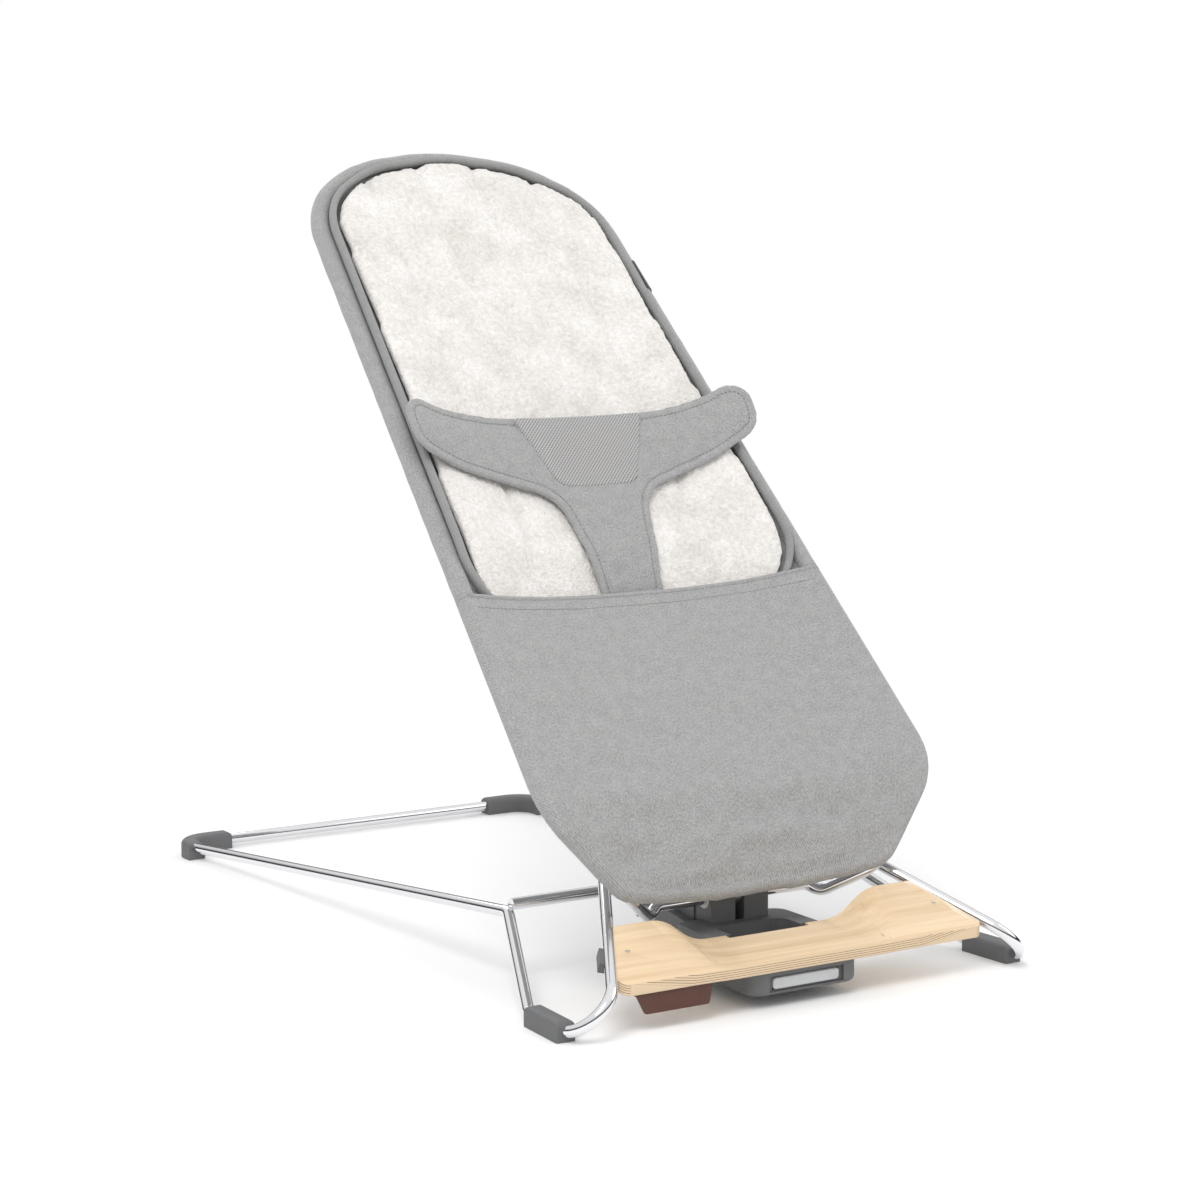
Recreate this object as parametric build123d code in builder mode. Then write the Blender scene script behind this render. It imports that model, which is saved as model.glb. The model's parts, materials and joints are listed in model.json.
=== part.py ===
"""Folding baby bouncer seat: a chromed rod base with a plywood foot board, a hinge hub and a fabric seat.

Millimetres. +X is the right-hand side seen from the front, +Y points to the back and +Z up.
The origin is on the floor, under the middle of the whole length and width.
Lengths named *_y are measured from the front edge of the foot board; at() moves them to the origin.
"""
import os
from math import acos, atan2, cos, radians, sin, tan

from build123d import *

os.makedirs("parts", exist_ok=True)

# ------------------------------------------------------------------ driving dimensions: base rods
rod_d = 10.0  # chromed spring-steel rod, base and seat frame
overall_length = 793.0  # front of the arcs to the back of the rear feet
sole = 3.0  # plastic under the rod in every foot
rear_half_width = 199.0  # rod axis at the rear corners
rear_corner_radius = 26.0
bend_half_width = 171.5  # rod axis where rail and leg meet
bend_height = 60.0
bend_radius = 12.0
foot_half_width = 217.5  # rod axis at the back end of the front feet
foot_back_y = 74.0
foot_bend_radius = 14.0
arc_radius = 26.0  # the springy arc in front of each front foot
arm_half_width = 187.8  # arm axis beside the board's front edge
arm_height = 39.0
arm_toe_in = 0.5695  # sideways run of an arm for each mm back
arm_rise = 0.4616  # upward run of an arm for each mm back
bridge_y = 137.0
bridge_radius = 28.0
crossbar_y = 183.5
crossbar_lift = 6.0  # crossbar axis above the axis of the bends

# ------------------------------------------------------------------ feet
foot_width = 17.0
foot_height = 16.5
foot_length = 56.0
foot_gap = 6.0  # rod that shows between the leg bend and the front foot
rear_foot_reach = 52.0  # along the rear bar, from the corner point
rear_foot_hook = 36.0  # along the side rail, from the corner point
foot_round = 5.0

# ------------------------------------------------------------------ board
board_depth = 61.5
board_thick = 9.0
board_front_top = 40.5
front_dip = 0.6  # the front edge's middle below its ends
board_wing_top = 70.5  # top face of the wings at the back edge
board_middle_top = 48.5  # top face of the middle at the back edge
s_curve_outer = 101.0
s_curve_inner = 71.0
s_curve_radius = 40.0
groove_depth = 2.0  # how far the rod sits in the edge of the board
notch_half_width = 39.5
notch_depth = 5.5
board_corner = 9.0

clip_y = 34.0  # middle of the clips that hold the board on the arms
clip_length = 20.0
clip_reach = 26.0
clip_drop = 9.0
clip_screw_in = 12.0  # from the arm to the clip's screw

# ------------------------------------------------------------------ hub
wall = 3.0
hub_half_width = 54.0
hub_front_y = 4.0
hub_back_y = 119.0
hub_bottom = 10.5
deck_thick = 3.0
tray_half_width = 34.5
tray_back_y = 88.0
tray_front_y = 40.0
tray_floor = 26.0
tray_wall = 2.0
pivot_y = 110.0
pivot_z = 67.5
barrel_r = 11.5
barrel_half_length = 28.5
bush_r = 8.0
bush_length = 14.0
running_gap = 0.05  # radial, between the pivot bar and what it turns in
neck_half_width = 38.0
neck_bottom = 36.0
tower_half_width = 30.0
tower_depth = 28.0
block_half_depth = 11.5
strap_thick = 4.0
screw_r = 1.75
screw_head_r = 3.4
screw_head = 2.2
screw_round = 0.8
screw_socket_r = 1.4
screw_socket_depth = 1.2
boss_r = 5.0

# ------------------------------------------------------------------ latch
button_half_width = 32.5
button_bottom = 15.3
button_top = 24.8
latch_gap = 0.3
latch_plate = 3.0  # thickness of the slide's plate
slide_front_y = 20.0
slide_bar = 4.0  # the cross bar that the springs push on
button_flange = 2.0  # thickness of the flange that stops the button
button_wall = 3.0
latch_half_width = 8.0
sector_r = 21.0
sector_half_thick = 4.0
notch_angles = (0.0, 11.0, 22.0, 40.0)  # seat upright, two reclines, folded
latch_angle = -10.0  # where the tooth meets the sector, from straight back
tooth_depth = 3.5
notch_half_angle = 3.2
tooth_half = 0.7  # half the height of the tooth's tip
spring_r = 2.6
spring_wire = 0.8
spring_turns = 6
spring_x = 15.0
spring_back_y = 44.0
spring_long = 18.0
post_half_width = 5.0  # the wall behind each spring
hub_screw_x = 43.0
hub_screw_ys = (18.0, 52.0)

# ------------------------------------------------------------------ seat frame and soft parts
seat_pitch = 44.5  # degrees above the floor
seat_y = 119.0  # a point of the seat plane, where the straight sides begin
seat_z = 187.0
side_half_width = 188.0
side_low = -38.0  # the sides' lower bend, along the seat plane
shoulder_half_width = 149.0
shoulder_at = 630.0
crown_half_width = 86.0
crown_at = 678.0
top_at = 693.5
bow_half_width = 124.0  # lowest point of the frame under the fabric
bow_y = 70.0
bow_z = 86.0
dip_half_width = 86.0
dip_y = 104.0
dip_z = 60.5
bar_half_length = 75.0
lower_radii = [13.0, 13.0, 40.0, 55.0]  # bends from the pivot bar up to the sides
upper_radii = [88.0, 128.0, 190.0, 128.0, 88.0]  # bends over the top, right to left
pad_radii = [80.0, 110.0, 160.0, 110.0, 80.0]
joint_at = 345.0  # where upper and lower frame meet
ferrule_r = 6.4
ferrule_length = 40.0
sleeve_r = 8.3  # fabric tunnel round the frame
cloth = 4.0
pad_thick = 12.0
pad_tucked = 4.0  # thickness inside the pocket
pad_margin = 9.5  # pad edge inside the rod axis
pad_corner_at = 200.0  # lower corners of the pad, along the seat plane
pad_corner_radius = 62.0
pad_low_at = 100.0
pad_full_at = 277.0  # full thickness from here up
pad_low_half_width = 92.0
pocket_at = 176.0  # top edge of the front pocket
hem_at = -107.0
# the frame's bow under the hem: run, half width of the rod, sling's height at its edge and middle
hem_stations = ((-38.0, 178.0, -3.0, -25.5), (-70.0, 160.0, -17.0, -25.0), (-98.0, 128.0, -33.0, -42.0))
soft_gap = 0.8
harness_thick = 4.0
harness_bow = 18.0  # wing tips in front of the harness's middle
# run up the seat and height of the harness's front face in the middle
harness_middles = ((100.0, -22.5), (172.0, -19.5), (176.0, -19.0), (224.0, -2.0), (277.0, 4.0))
harness_middles += ((354.0, 19.0), (420.0, 32.0))
wing_top_at = 354.0
wing_low_at = 306.0
wing_half_width = 174.0
crotch_at = 268.0  # underside of the wings where the stem begins
stem_half_width = 37.0
stem_low_half_width = 28.0
mesh_top_half_width = 66.0
mesh_low_half_width = 40.0
mesh_low_at = 282.0
label_at = 533.0
label_length = 36.0
tag_x = -129.0
tag_width = 72.0
tag_drop = 17.0
tag_thick = 1.6

rod_r = rod_d / 2
axis_z = sole + rod_r


# ------------------------------------------------------------------ the base rod's corner points
def arm_point(y):
    """A point on the right arm's axis, y mm behind the board's front edge."""
    return Vector(arm_half_width - arm_toe_in * y, y, arm_height + arm_rise * y)


arc_corner = arm_point((axis_z - arm_height) / arm_rise)
arm_way = (arm_point(1) - arm_point(0)).normalized()
foot_corner = Vector(foot_half_width, foot_back_y, axis_z)
foot_way = (arc_corner - foot_corner).normalized()
arc_turn = acos(foot_way.dot(arm_way))
arc_run = arc_radius * tan(arc_turn / 2)
arc_reach = -(arc_corner - foot_way * arc_run).Y + arc_radius + rod_r
shift_y = arc_reach - overall_length / 2
rear_y = overall_length - arc_reach - foot_width / 2
bend_corner = Vector(bend_half_width, crossbar_y, bend_height)
rear_corner = Vector(rear_half_width, rear_y, axis_z)
bridge_corner = arm_point(bridge_y)


def at(x, y, z):
    """A place in the object's frame from a y that is measured from the board's front edge."""
    return Vector(x, y + shift_y, z)


def side_of(point, side):
    """The point on the right (1) or mirrored to the left (-1), in the object's frame."""
    return at(point.X * side, point.Y, point.Z)


def toward(start, end, run):
    """The point that lies run mm from start on the way to end."""
    return start + (end - start).normalized() * run


rail_back = toward(rear_corner, bend_corner, 45)
rail_front = toward(bend_corner, rear_corner, 30)
arm_low = toward(arc_corner, bridge_corner, arc_run + 4)
arm_high = toward(bridge_corner, arm_low, 40)


# ------------------------------------------------------------------ the seat plane
slope = Vector(0, cos(radians(seat_pitch)), sin(radians(seat_pitch)))
front = Vector(0, -sin(radians(seat_pitch)), cos(radians(seat_pitch)))
seat_plane = Plane(origin=at(0, seat_y, seat_z), x_dir=(1, 0, 0), z_dir=front)


def on_seat(x, along, off=0.0):
    """A place given by its width, its run up the seat plane and its height off that plane."""
    return at(x, seat_y, seat_z) + slope * along + front * off


def side_width(along):
    """Half the distance between the frame's side rods, at a run up the seat plane."""
    share = (along - side_low) / (shoulder_at - side_low)
    return side_half_width + (shoulder_half_width - side_half_width) * share


def bow_share(along):
    """How far down the lower bow a run along the seat plane is: width and height off the plane."""
    low = Vector(bow_half_width, bow_y - seat_y, bow_z - seat_z)
    low_along = low.dot(slope)
    share = (along - side_low) / (low_along - side_low)
    return side_half_width + (bow_half_width - side_half_width) * share, low.dot(front) * share


def finish(part, name):
    """Label a finished piece and write it to its own file."""
    part.part.label = name
    export_step(part.part, f"parts/{name}.step")
    return part


# ------------------------------------------------------------------ rods
def rod(points, radii, radius=rod_r, bore=0.0):
    """A round rod, or a tube, along straight runs joined by arcs."""
    with BuildPart() as part:
        with BuildLine() as path:
            if radii:
                FilletPolyline(*points, radius=radii)
            else:
                Line(points[0], points[1])
        with BuildSketch(Plane(origin=path.line @ 0, z_dir=path.line % 0)):
            Circle(radius)
            if bore:
                Circle(bore, mode=Mode.SUBTRACT)
        sweep()
    return part


def base_rods():
    """The bent base rod in its straight and bent lengths, and the welded crossbar."""
    rods = {}
    run = [side_of(rail_back, -1), side_of(rear_corner, -1), side_of(rear_corner, 1), side_of(rail_back, 1)]
    rods["rear_bar"] = rod(run, [rear_corner_radius] * 2)
    for name, side in (("left", -1), ("right", 1)):
        ends = [side_of(rail_back, side), side_of(rail_front, side)]
        rods[f"side_rail_{name}"] = rod(ends, [])
        corners = [rail_front, bend_corner, foot_corner, arc_corner, arm_low]
        leg = [side_of(corner, side) for corner in corners]
        rods[f"front_leg_{name}"] = rod(leg, [bend_radius, foot_bend_radius, arc_radius])
        rods[f"arm_{name}"] = rod([side_of(arm_low, side), side_of(arm_high, side)], [])
    corners = [side_of(arm_high, -1), side_of(bridge_corner, -1)]
    corners += [side_of(bridge_corner, 1), side_of(arm_high, 1)]
    rods["arm_bridge"] = rod(corners, [bridge_radius] * 2)
    end = Vector(bend_half_width - rod_r / 2, crossbar_y, bend_height + crossbar_lift)
    with BuildPart() as crossbar:
        add(rod([side_of(end, -1), side_of(end, 1)], []).part)
        for name in ("left", "right"):
            add(rods[f"front_leg_{name}"].part, mode=Mode.SUBTRACT)
    rods["crossbar"] = crossbar
    return {name: finish(part, name) for name, part in rods.items()}


def rear_foot(side, rods, name):
    """A moulded sleeve round a rear corner, flat underneath."""
    corner = Vector(rear_half_width * side, rear_y + shift_y)
    rail = Vector(bend_half_width * side, crossbar_y + shift_y)
    inner = Vector((rear_half_width - rear_foot_reach) * side, rear_y + shift_y)
    hook = corner + (rail - corner).normalized() * rear_foot_hook
    with BuildPart() as foot:
        with BuildSketch() as plan:
            with BuildLine():
                path = FilletPolyline(inner, corner, hook, radius=rear_corner_radius)
            trace(path, line_width=foot_width)
        extrude(amount=foot_height)
        fillet(foot.edges().group_by(Axis.Z)[-1], foot_round)
        for rod_part in rods:
            add(rod_part.part, mode=Mode.SUBTRACT)
    return finish(foot, name)


def front_foot(side, leg, name):
    """A straight moulded sleeve round the rod of a front foot, flat underneath."""
    back = toward(foot_corner, arc_corner, foot_gap)
    middle = side_of(toward(back, arc_corner, foot_length / 2), side)
    way = Vector(foot_way.X * side, foot_way.Y)
    with BuildPart() as foot:
        with BuildSketch(Plane(origin=(middle.X, middle.Y, 0), x_dir=way, z_dir=(0, 0, 1))):
            RectangleRounded(foot_length, foot_width, 2)
        extrude(amount=foot_height)
        fillet(foot.edges().group_by(Axis.Z)[-1], foot_round)
        add(leg.part, mode=Mode.SUBTRACT)
    return finish(foot, name)


# ------------------------------------------------------------------ board
def board_section(wing_top, middle_top, half_width):
    """The outline of the board's cross-section: two wings and a lower middle joined by S-curves."""
    full_bend = atan2(board_wing_top - board_middle_top, s_curve_outer - s_curve_inner)
    run = s_curve_radius * tan(full_bend / 2)
    bend = atan2(wing_top - middle_top, s_curve_outer - s_curve_inner)
    for drop in (0, board_thick):
        top = [(-half_width, wing_top - drop), (-s_curve_outer, wing_top - drop)]
        top += [(-s_curve_inner, middle_top - drop)]
        top += [(-x, z) for x, z in reversed(top)]
        FilletPolyline(*top, radius=run / tan(bend / 2))
    for x in (-half_width, half_width):
        Line((x, wing_top), (x, wing_top - board_thick))


def board_blank():
    """The moulded ply shell: straight at the front, raised wings and a low middle at the back."""
    half_width = arm_half_width + rod_r
    cross = Plane(origin=at(0, 0, 0), x_dir=(1, 0, 0), z_dir=(0, -1, 0))
    with BuildPart() as blank:
        with BuildSketch(cross):
            with BuildLine():
                board_section(board_front_top, board_front_top - front_dip, half_width)
            make_face()
        with BuildSketch(cross.offset(-board_depth)):
            with BuildLine():
                board_section(board_wing_top, board_middle_top, half_width)
            make_face()
        loft(ruled=True)
    return blank


def foot_board(arms, screws):
    """The plywood board between the two arms, with a notch that opens on the hub's hollow."""
    edge = rod_r - groove_depth
    front_x = arm_point(0).X - edge
    back_x = arm_point(board_depth).X - edge
    with BuildPart() as board:
        add(board_blank().part)
        with BuildSketch(Plane(origin=at(0, 0, 0))) as plan:
            corners = [(-front_x, 0), (front_x, 0), (back_x, board_depth), (-back_x, board_depth)]
            with BuildLine():
                Polyline(*corners, close=True)
            make_face()
            fillet(plan.vertices().group_by(Axis.Y)[0], board_corner)
            with Locations((0, board_depth)):
                Rectangle(2 * notch_half_width, 2 * notch_depth, mode=Mode.SUBTRACT)
        extrude(amount=board_wing_top + board_thick, mode=Mode.INTERSECT)
        for part in arms + screws:
            add(part.part, mode=Mode.SUBTRACT)
    return finish(board, "foot_board")


def board_under(y):
    """Height of the board's underside in its middle, y mm behind its front edge."""
    front_top = board_front_top - front_dip
    return front_top - board_thick + (board_middle_top - front_top) * y / board_depth


def board_clip(side, board, arm, screws, name):
    """A saddle under the board that holds it on the arm."""
    middle = side_of(arm_point(clip_y), side)
    way = Vector(arm_way.X * side, arm_way.Y, arm_way.Z)
    inward = Vector(-side, 0, 0)
    level = (inward - way * inward.dot(way)).normalized()
    with BuildPart() as clip:
        with BuildSketch(Plane(origin=middle, x_dir=level, z_dir=way)) as section:
            up = 1 if section.workplanes[0].y_dir.Z > 0 else -1
            with Locations((clip_reach / 2 - 4, -up * clip_drop / 2)):
                Rectangle(clip_reach + 8, clip_drop)
        extrude(amount=clip_length / 2, both=True)
        for part in [board, arm] + screws:
            add(part.part, mode=Mode.SUBTRACT)
    return finish(clip, name)


# ------------------------------------------------------------------ screws
def screw(place, axis, length):
    """A plain pan-head screw: its head's underside at place, its shank running along axis."""
    with BuildPart() as part:
        with BuildSketch(Plane(origin=place, z_dir=axis)):
            Circle(screw_r)
        extrude(amount=length)
        with BuildSketch(Plane(origin=place, z_dir=axis)):
            Circle(screw_head_r)
        extrude(amount=-screw_head)
        fillet(part.edges().sort_by(Axis(place, axis))[0], screw_round)
        with BuildSketch(Plane(origin=place - axis * screw_head, z_dir=axis)):
            RegularPolygon(screw_socket_r, 6)
        extrude(amount=screw_socket_depth, mode=Mode.SUBTRACT)
    return part


def screws_at(places, axis, length):
    """Like screws at several places."""
    return [screw(place, axis, length) for place in places]


def group(parts, name):
    """Several separate solids that share one node."""
    with BuildPart() as gathered:
        for part in parts:
            add(part.part)
    return finish(gathered, name)


# ------------------------------------------------------------------ hub
deck_top = board_middle_top
deck_under = deck_top - deck_thick
tower_front_y = pivot_y + block_half_depth + 0.5
tower_back_y = tower_front_y + tower_depth
neck_back_y = crossbar_y + rod_r + strap_thick + 4
bridge_z = bridge_corner.Z
crossbar_z = bend_height + crossbar_lift
hinge_screw_z = pivot_z + 16.5
slot_half = sector_half_thick + 0.5
sheet_inset = sleeve_r + 1.2
inner_gap = 0.3  # between the hub's housing and the board above it


def side_profile(corners, half_width, mode=Mode.ADD, x=0.0):
    """A prism across the hub from corners given as (y, z), centred on x."""
    with BuildSketch(Plane(origin=at(x, 0, 0), x_dir=(0, 1, 0), z_dir=(1, 0, 0))) as profile:
        with BuildLine():
            Polyline(*corners, close=True)
        make_face()
    extrude(profile.sketch, amount=half_width, both=True, mode=mode)


def barrel(radius, half_length, mode=Mode.ADD, x=0.0):
    """A round bar across the hub on the pivot axis."""
    with BuildSketch(Plane(origin=at(x, pivot_y, pivot_z), z_dir=(1, 0, 0))) as ring:
        Circle(radius)
    extrude(ring.sketch, amount=half_length, both=True, mode=mode)


def hub_housing(rods, screws):
    """The lower shell: tub with the button's window, neck, hinge block, tower and crossbar saddle."""
    w = wall
    tub_back = hub_back_y
    top = [(hub_front_y, board_under(hub_front_y) - inner_gap)]
    top += [(board_depth + inner_gap, board_under(board_depth) - inner_gap)]
    top += [(board_depth + inner_gap, deck_under)]
    with BuildPart() as hub:
        with BuildSketch(Plane(origin=at(0, (hub_front_y + tub_back) / 2, hub_bottom))):
            RectangleRounded(2 * hub_half_width, tub_back - hub_front_y, 14)
        extrude(amount=deck_under - hub_bottom)
        fillet(hub.faces().sort_by(Axis.Z)[0].edges(), 5)
        side_profile(
            [(hub_front_y - 1, hub_bottom - 1)] + [(hub_front_y - 1, top[0][1])] + top[1:]
            + [(tub_back + 1, deck_under), (tub_back + 1, hub_bottom - 1)],
            hub_half_width + 1,
            mode=Mode.INTERSECT,
        )
        with BuildSketch(Plane(origin=at(0, (hub_front_y + 2 + tub_back) / 2, hub_bottom + w))):
            RectangleRounded(2 * (hub_half_width - w), tub_back - hub_front_y - 2 * w - 2, 11)
        extrude(amount=deck_top, mode=Mode.SUBTRACT)
        neck = [(tub_back - w, neck_bottom), (neck_back_y, neck_bottom), (neck_back_y, crossbar_z)]
        neck += [(crossbar_y - rod_r - 8, crossbar_z), (tower_back_y + 4, deck_under + 6)]
        neck += [(tub_back - w, deck_under)]
        side_profile(neck, neck_half_width)
        block = [(pivot_y - block_half_depth, deck_under - 6), (tower_front_y, neck_bottom)]
        block += [(tower_front_y, pivot_z), (pivot_y - block_half_depth, pivot_z)]
        side_profile(block, barrel_half_length)
        tower = [(tower_front_y, neck_bottom), (tower_back_y, neck_bottom), (tower_back_y, bridge_z)]
        tower += [(tower_front_y, bridge_z)]
        side_profile(tower, tower_half_width)
        barrel(bush_r, barrel_half_length + 1, mode=Mode.SUBTRACT)
        barrel(sector_r + 0.8, slot_half, mode=Mode.SUBTRACT)
        shaft = [(pivot_y - 8, deck_under - 7), (tower_back_y - w, deck_under - 7)]
        shaft += [(tower_back_y - w, bridge_z - rod_r - w), (tower_front_y + 2, bridge_z - rod_r - w)]
        shaft += [(tower_front_y + 2, deck_under), (pivot_y - 8, deck_under)]
        side_profile(shaft, slot_half, mode=Mode.SUBTRACT)
        rise = [(pivot_y - 8, neck_bottom - 6), (tub_back - w - 0.5, neck_bottom - 6)]
        rise += [(tub_back - w - 0.5, deck_under - 6), (pivot_y - 8, deck_under - 6)]
        side_profile(rise, slot_half, mode=Mode.SUBTRACT)
        passage = [(tub_back - w - 12, neck_bottom + w), (tower_back_y - w, neck_bottom + w)]
        passage += [(tower_back_y - w, deck_under - 0.5), (tub_back - w - 12, deck_under - 0.5)]
        side_profile(passage, latch_half_width + 1, mode=Mode.SUBTRACT)
        window = [(hub_front_y - 1, button_bottom - 1.6), (hub_front_y + 2.5, button_bottom - 1.6)]
        window += [(hub_front_y + 2.5, button_top + 2), (hub_front_y - 1, button_top + 2)]
        side_profile(window, button_half_width + 4, mode=Mode.SUBTRACT)
        slot = [(hub_front_y, button_bottom - latch_gap), (hub_front_y + 9, button_bottom - latch_gap)]
        slot += [(hub_front_y + 9, button_top + latch_gap), (hub_front_y, button_top + latch_gap)]
        side_profile(slot, button_half_width + latch_gap, mode=Mode.SUBTRACT)
        for x in (-spring_x, spring_x):
            post_top = tray_floor - tray_wall - 0.4
            post = [(spring_back_y, hub_bottom + w), (spring_back_y + w, hub_bottom + w)]
            post += [(spring_back_y + w, post_top), (spring_back_y, post_top)]
            side_profile(post, post_half_width, x=x)
        for x in (-hub_screw_x, hub_screw_x):
            for y in hub_screw_ys:
                with BuildSketch(Plane(origin=at(x, y, hub_bottom + w))):
                    Circle(boss_r)
                extrude(amount=board_under(y - boss_r) - inner_gap - hub_bottom - w)
        for part in rods + screws:
            add(part.part, mode=Mode.SUBTRACT)
    return finish(hub, "hub_housing")


def hub_deck(housing):
    """The cover behind the board, with the hollow that a hand goes into to carry the folded seat."""
    with BuildPart() as deck:
        with BuildSketch(Plane(origin=at(0, (board_depth + inner_gap + hub_back_y) / 2, deck_under))) as plan:
            Rectangle(2 * hub_half_width, hub_back_y - board_depth - inner_gap)
            fillet(plan.vertices().group_by(Axis.Y)[-1], 14)
        extrude(amount=deck_thick)
        fillet(deck.faces().sort_by(Axis.Z)[-1].edges().group_by(Axis.Y)[-1], 1.5)
        tray_middle = (tray_front_y + tray_back_y) / 2
        tray_long = tray_back_y - tray_front_y
        with BuildSketch(Plane(origin=at(0, tray_middle, tray_floor - tray_wall))):
            RectangleRounded(2 * (tray_half_width + tray_wall), tray_long + 2 * tray_wall, 14)
        extrude(amount=deck_top - tray_floor)
        board_back = board_depth + inner_gap
        start = tray_front_y - 10
        under_board = [(start, 0), (hub_back_y + 1, 0), (hub_back_y + 1, deck_top), (board_back, deck_top)]
        under_board += [(board_back, board_under(board_depth) - inner_gap)]
        under_board += [(start, board_under(start) - inner_gap)]
        side_profile(under_board, hub_half_width + 1, mode=Mode.INTERSECT)
        with BuildSketch(Plane(origin=at(0, tray_middle, tray_floor))):
            RectangleRounded(2 * tray_half_width, tray_long, 12)
        extrude(amount=deck_top, mode=Mode.SUBTRACT)
        cut = [(pivot_y - block_half_depth - 0.2, deck_under - 1), (hub_back_y + 1, deck_under - 1)]
        cut += [(hub_back_y + 1, deck_top + 1), (pivot_y - block_half_depth - 0.2, deck_top + 1)]
        side_profile(cut, barrel_half_length + 0.2, mode=Mode.SUBTRACT)
        add(housing.part, mode=Mode.SUBTRACT)
    return finish(deck, "hub_deck")


def hinge_cap(screws):
    """The upper half of the barrel, with a flange behind it that screws on the tower's front."""
    flange = [(tower_front_y - strap_thick, pivot_z), (tower_front_y, pivot_z)]
    flange += [(tower_front_y, hinge_screw_z + 7), (tower_front_y - strap_thick, hinge_screw_z + 7)]
    with BuildPart() as cap:
        barrel(barrel_r, barrel_half_length)
        half = [(pivot_y - barrel_r - 1, pivot_z), (pivot_y + barrel_r + 1, pivot_z)]
        half += [(pivot_y + barrel_r + 1, pivot_z + barrel_r + 1)]
        half += [(pivot_y - barrel_r - 1, pivot_z + barrel_r + 1)]
        side_profile(half, barrel_half_length + 1, mode=Mode.INTERSECT)
        side_profile(flange, barrel_half_length)
        barrel(bush_r, barrel_half_length + 1, mode=Mode.SUBTRACT)
        barrel(sector_r + 0.8, slot_half, mode=Mode.SUBTRACT)
        for part in screws:
            add(part.part, mode=Mode.SUBTRACT)
    return finish(cap, "hinge_cap")


def strap(y, z, depth, half_width, rod_part, screws, name):
    """A cap that clamps a cross rod on the hub: a half block over the rod."""
    with BuildPart() as cap:
        with BuildSketch(Plane(origin=at(0, y, z))):
            RectangleRounded(2 * half_width, depth, 3)
        extrude(amount=rod_r + strap_thick)
        fillet(cap.faces().sort_by(Axis.Z)[-1].edges(), 2)
        for part in [rod_part] + screws:
            add(part.part, mode=Mode.SUBTRACT)
    return finish(cap, name)


def hinge_bush(side, name):
    """A plain nylon bush that the pivot bar turns in."""
    with BuildPart() as bush:
        middle = side * (barrel_half_length - bush_length / 2)
        barrel(bush_r, bush_length / 2, x=middle)
        barrel(rod_r + running_gap, bush_length, mode=Mode.SUBTRACT, x=middle)
    return finish(bush, name)


# ------------------------------------------------------------------ latch
def around_pivot(radius, angle):
    """A (y, z) place at a radius from the pivot and an angle from straight back, upward positive."""
    turn = radians(angle)
    return pivot_y + radius * cos(turn), pivot_z + radius * sin(turn)


def ratchet_sector():
    """The notched plate on the pivot bar that the latch tooth holds."""
    span_low = latch_angle - 7
    span_high = latch_angle + notch_angles[-1] + 7
    with BuildPart() as sector:
        barrel(sector_r, sector_half_thick)
        span = [(pivot_y, pivot_z), around_pivot(2 * sector_r, span_low)]
        span += [around_pivot(2 * sector_r, (span_low + span_high) / 2)]
        span += [around_pivot(2 * sector_r, span_high)]
        side_profile(span, sector_half_thick, mode=Mode.INTERSECT)
        barrel(rod_r + 3.5, sector_half_thick)
        for angle in notch_angles:
            centre = latch_angle + angle
            notch = [around_pivot(sector_r - tooth_depth, centre - notch_half_angle)]
            notch += [around_pivot(sector_r + 1, centre - notch_half_angle - 0.5)]
            notch += [around_pivot(sector_r + 1, centre + notch_half_angle + 0.5)]
            notch += [around_pivot(sector_r - tooth_depth, centre + notch_half_angle)]
            side_profile(notch, sector_half_thick + 1, mode=Mode.SUBTRACT)
        barrel(rod_r + running_gap, sector_half_thick + 1, mode=Mode.SUBTRACT)
    return finish(sector, "ratchet_sector")


def latch_slide():
    """The slide that the button pushes: a plate under the tray, a rise and the tooth behind the sector."""
    low = button_bottom
    plate = latch_plate
    start = slide_front_y
    rise_y = pivot_y - 4
    arm_y = pivot_y + sector_r + 4
    shelf = deck_under - 2.2
    tip_y, tip_z = around_pivot(sector_r + latch_gap, latch_angle)
    with BuildPart() as slide:
        outline = [(start, low), (rise_y + plate, low), (rise_y + plate, shelf - plate)]
        outline += [(arm_y + 6, shelf - plate), (arm_y + 6, tip_z + 4), (arm_y, tip_z + 4)]
        outline += [(arm_y, tip_z + 2 * tooth_half), (tip_y, tip_z + tooth_half), (tip_y, tip_z - tooth_half)]
        outline += [(arm_y, tip_z - 2 * tooth_half), (arm_y, shelf)]
        outline += [(rise_y, shelf), (rise_y, low + plate), (start, low + plate)]
        side_profile(outline, sector_half_thick)
        with BuildSketch(Plane(origin=at(0, (start + rise_y + plate) / 2, low))):
            Rectangle(2 * latch_half_width, rise_y + plate - start)
        extrude(amount=plate)
        with BuildSketch(Plane(origin=at(0, start + slide_bar / 2, low))):
            Rectangle(2 * (spring_x + slide_bar), slide_bar)
        extrude(amount=2 * spring_r + 0.3)
    return finish(slide, "latch_slide")


def release_button():
    """The long push button in the hub's nose, with a flange that stops it and a stem to the slide."""
    face = hub_front_y + 0.5
    inside = hub_front_y + 5 + latch_gap
    height = button_top - button_bottom
    centre = at(0, inside, button_bottom + height / 2)
    across = Plane(origin=centre, x_dir=(1, 0, 0), z_dir=(0, 1, 0))
    with BuildPart() as button:
        with BuildSketch(across):
            RectangleRounded(2 * button_half_width, height, 3)
        extrude(amount=face - inside)
        fillet(button.faces().sort_by(Axis.Y)[0].edges(), 1.5)
        with BuildSketch(across):
            Rectangle(2 * button_half_width + 5, height)
        extrude(amount=button_flange)
        with BuildSketch(across):
            with Locations((0, (height - button_wall) / 2)):
                Rectangle(2 * latch_half_width, button_wall)
        extrude(amount=slide_front_y - inside)
    return finish(button, "release_button")


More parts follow.
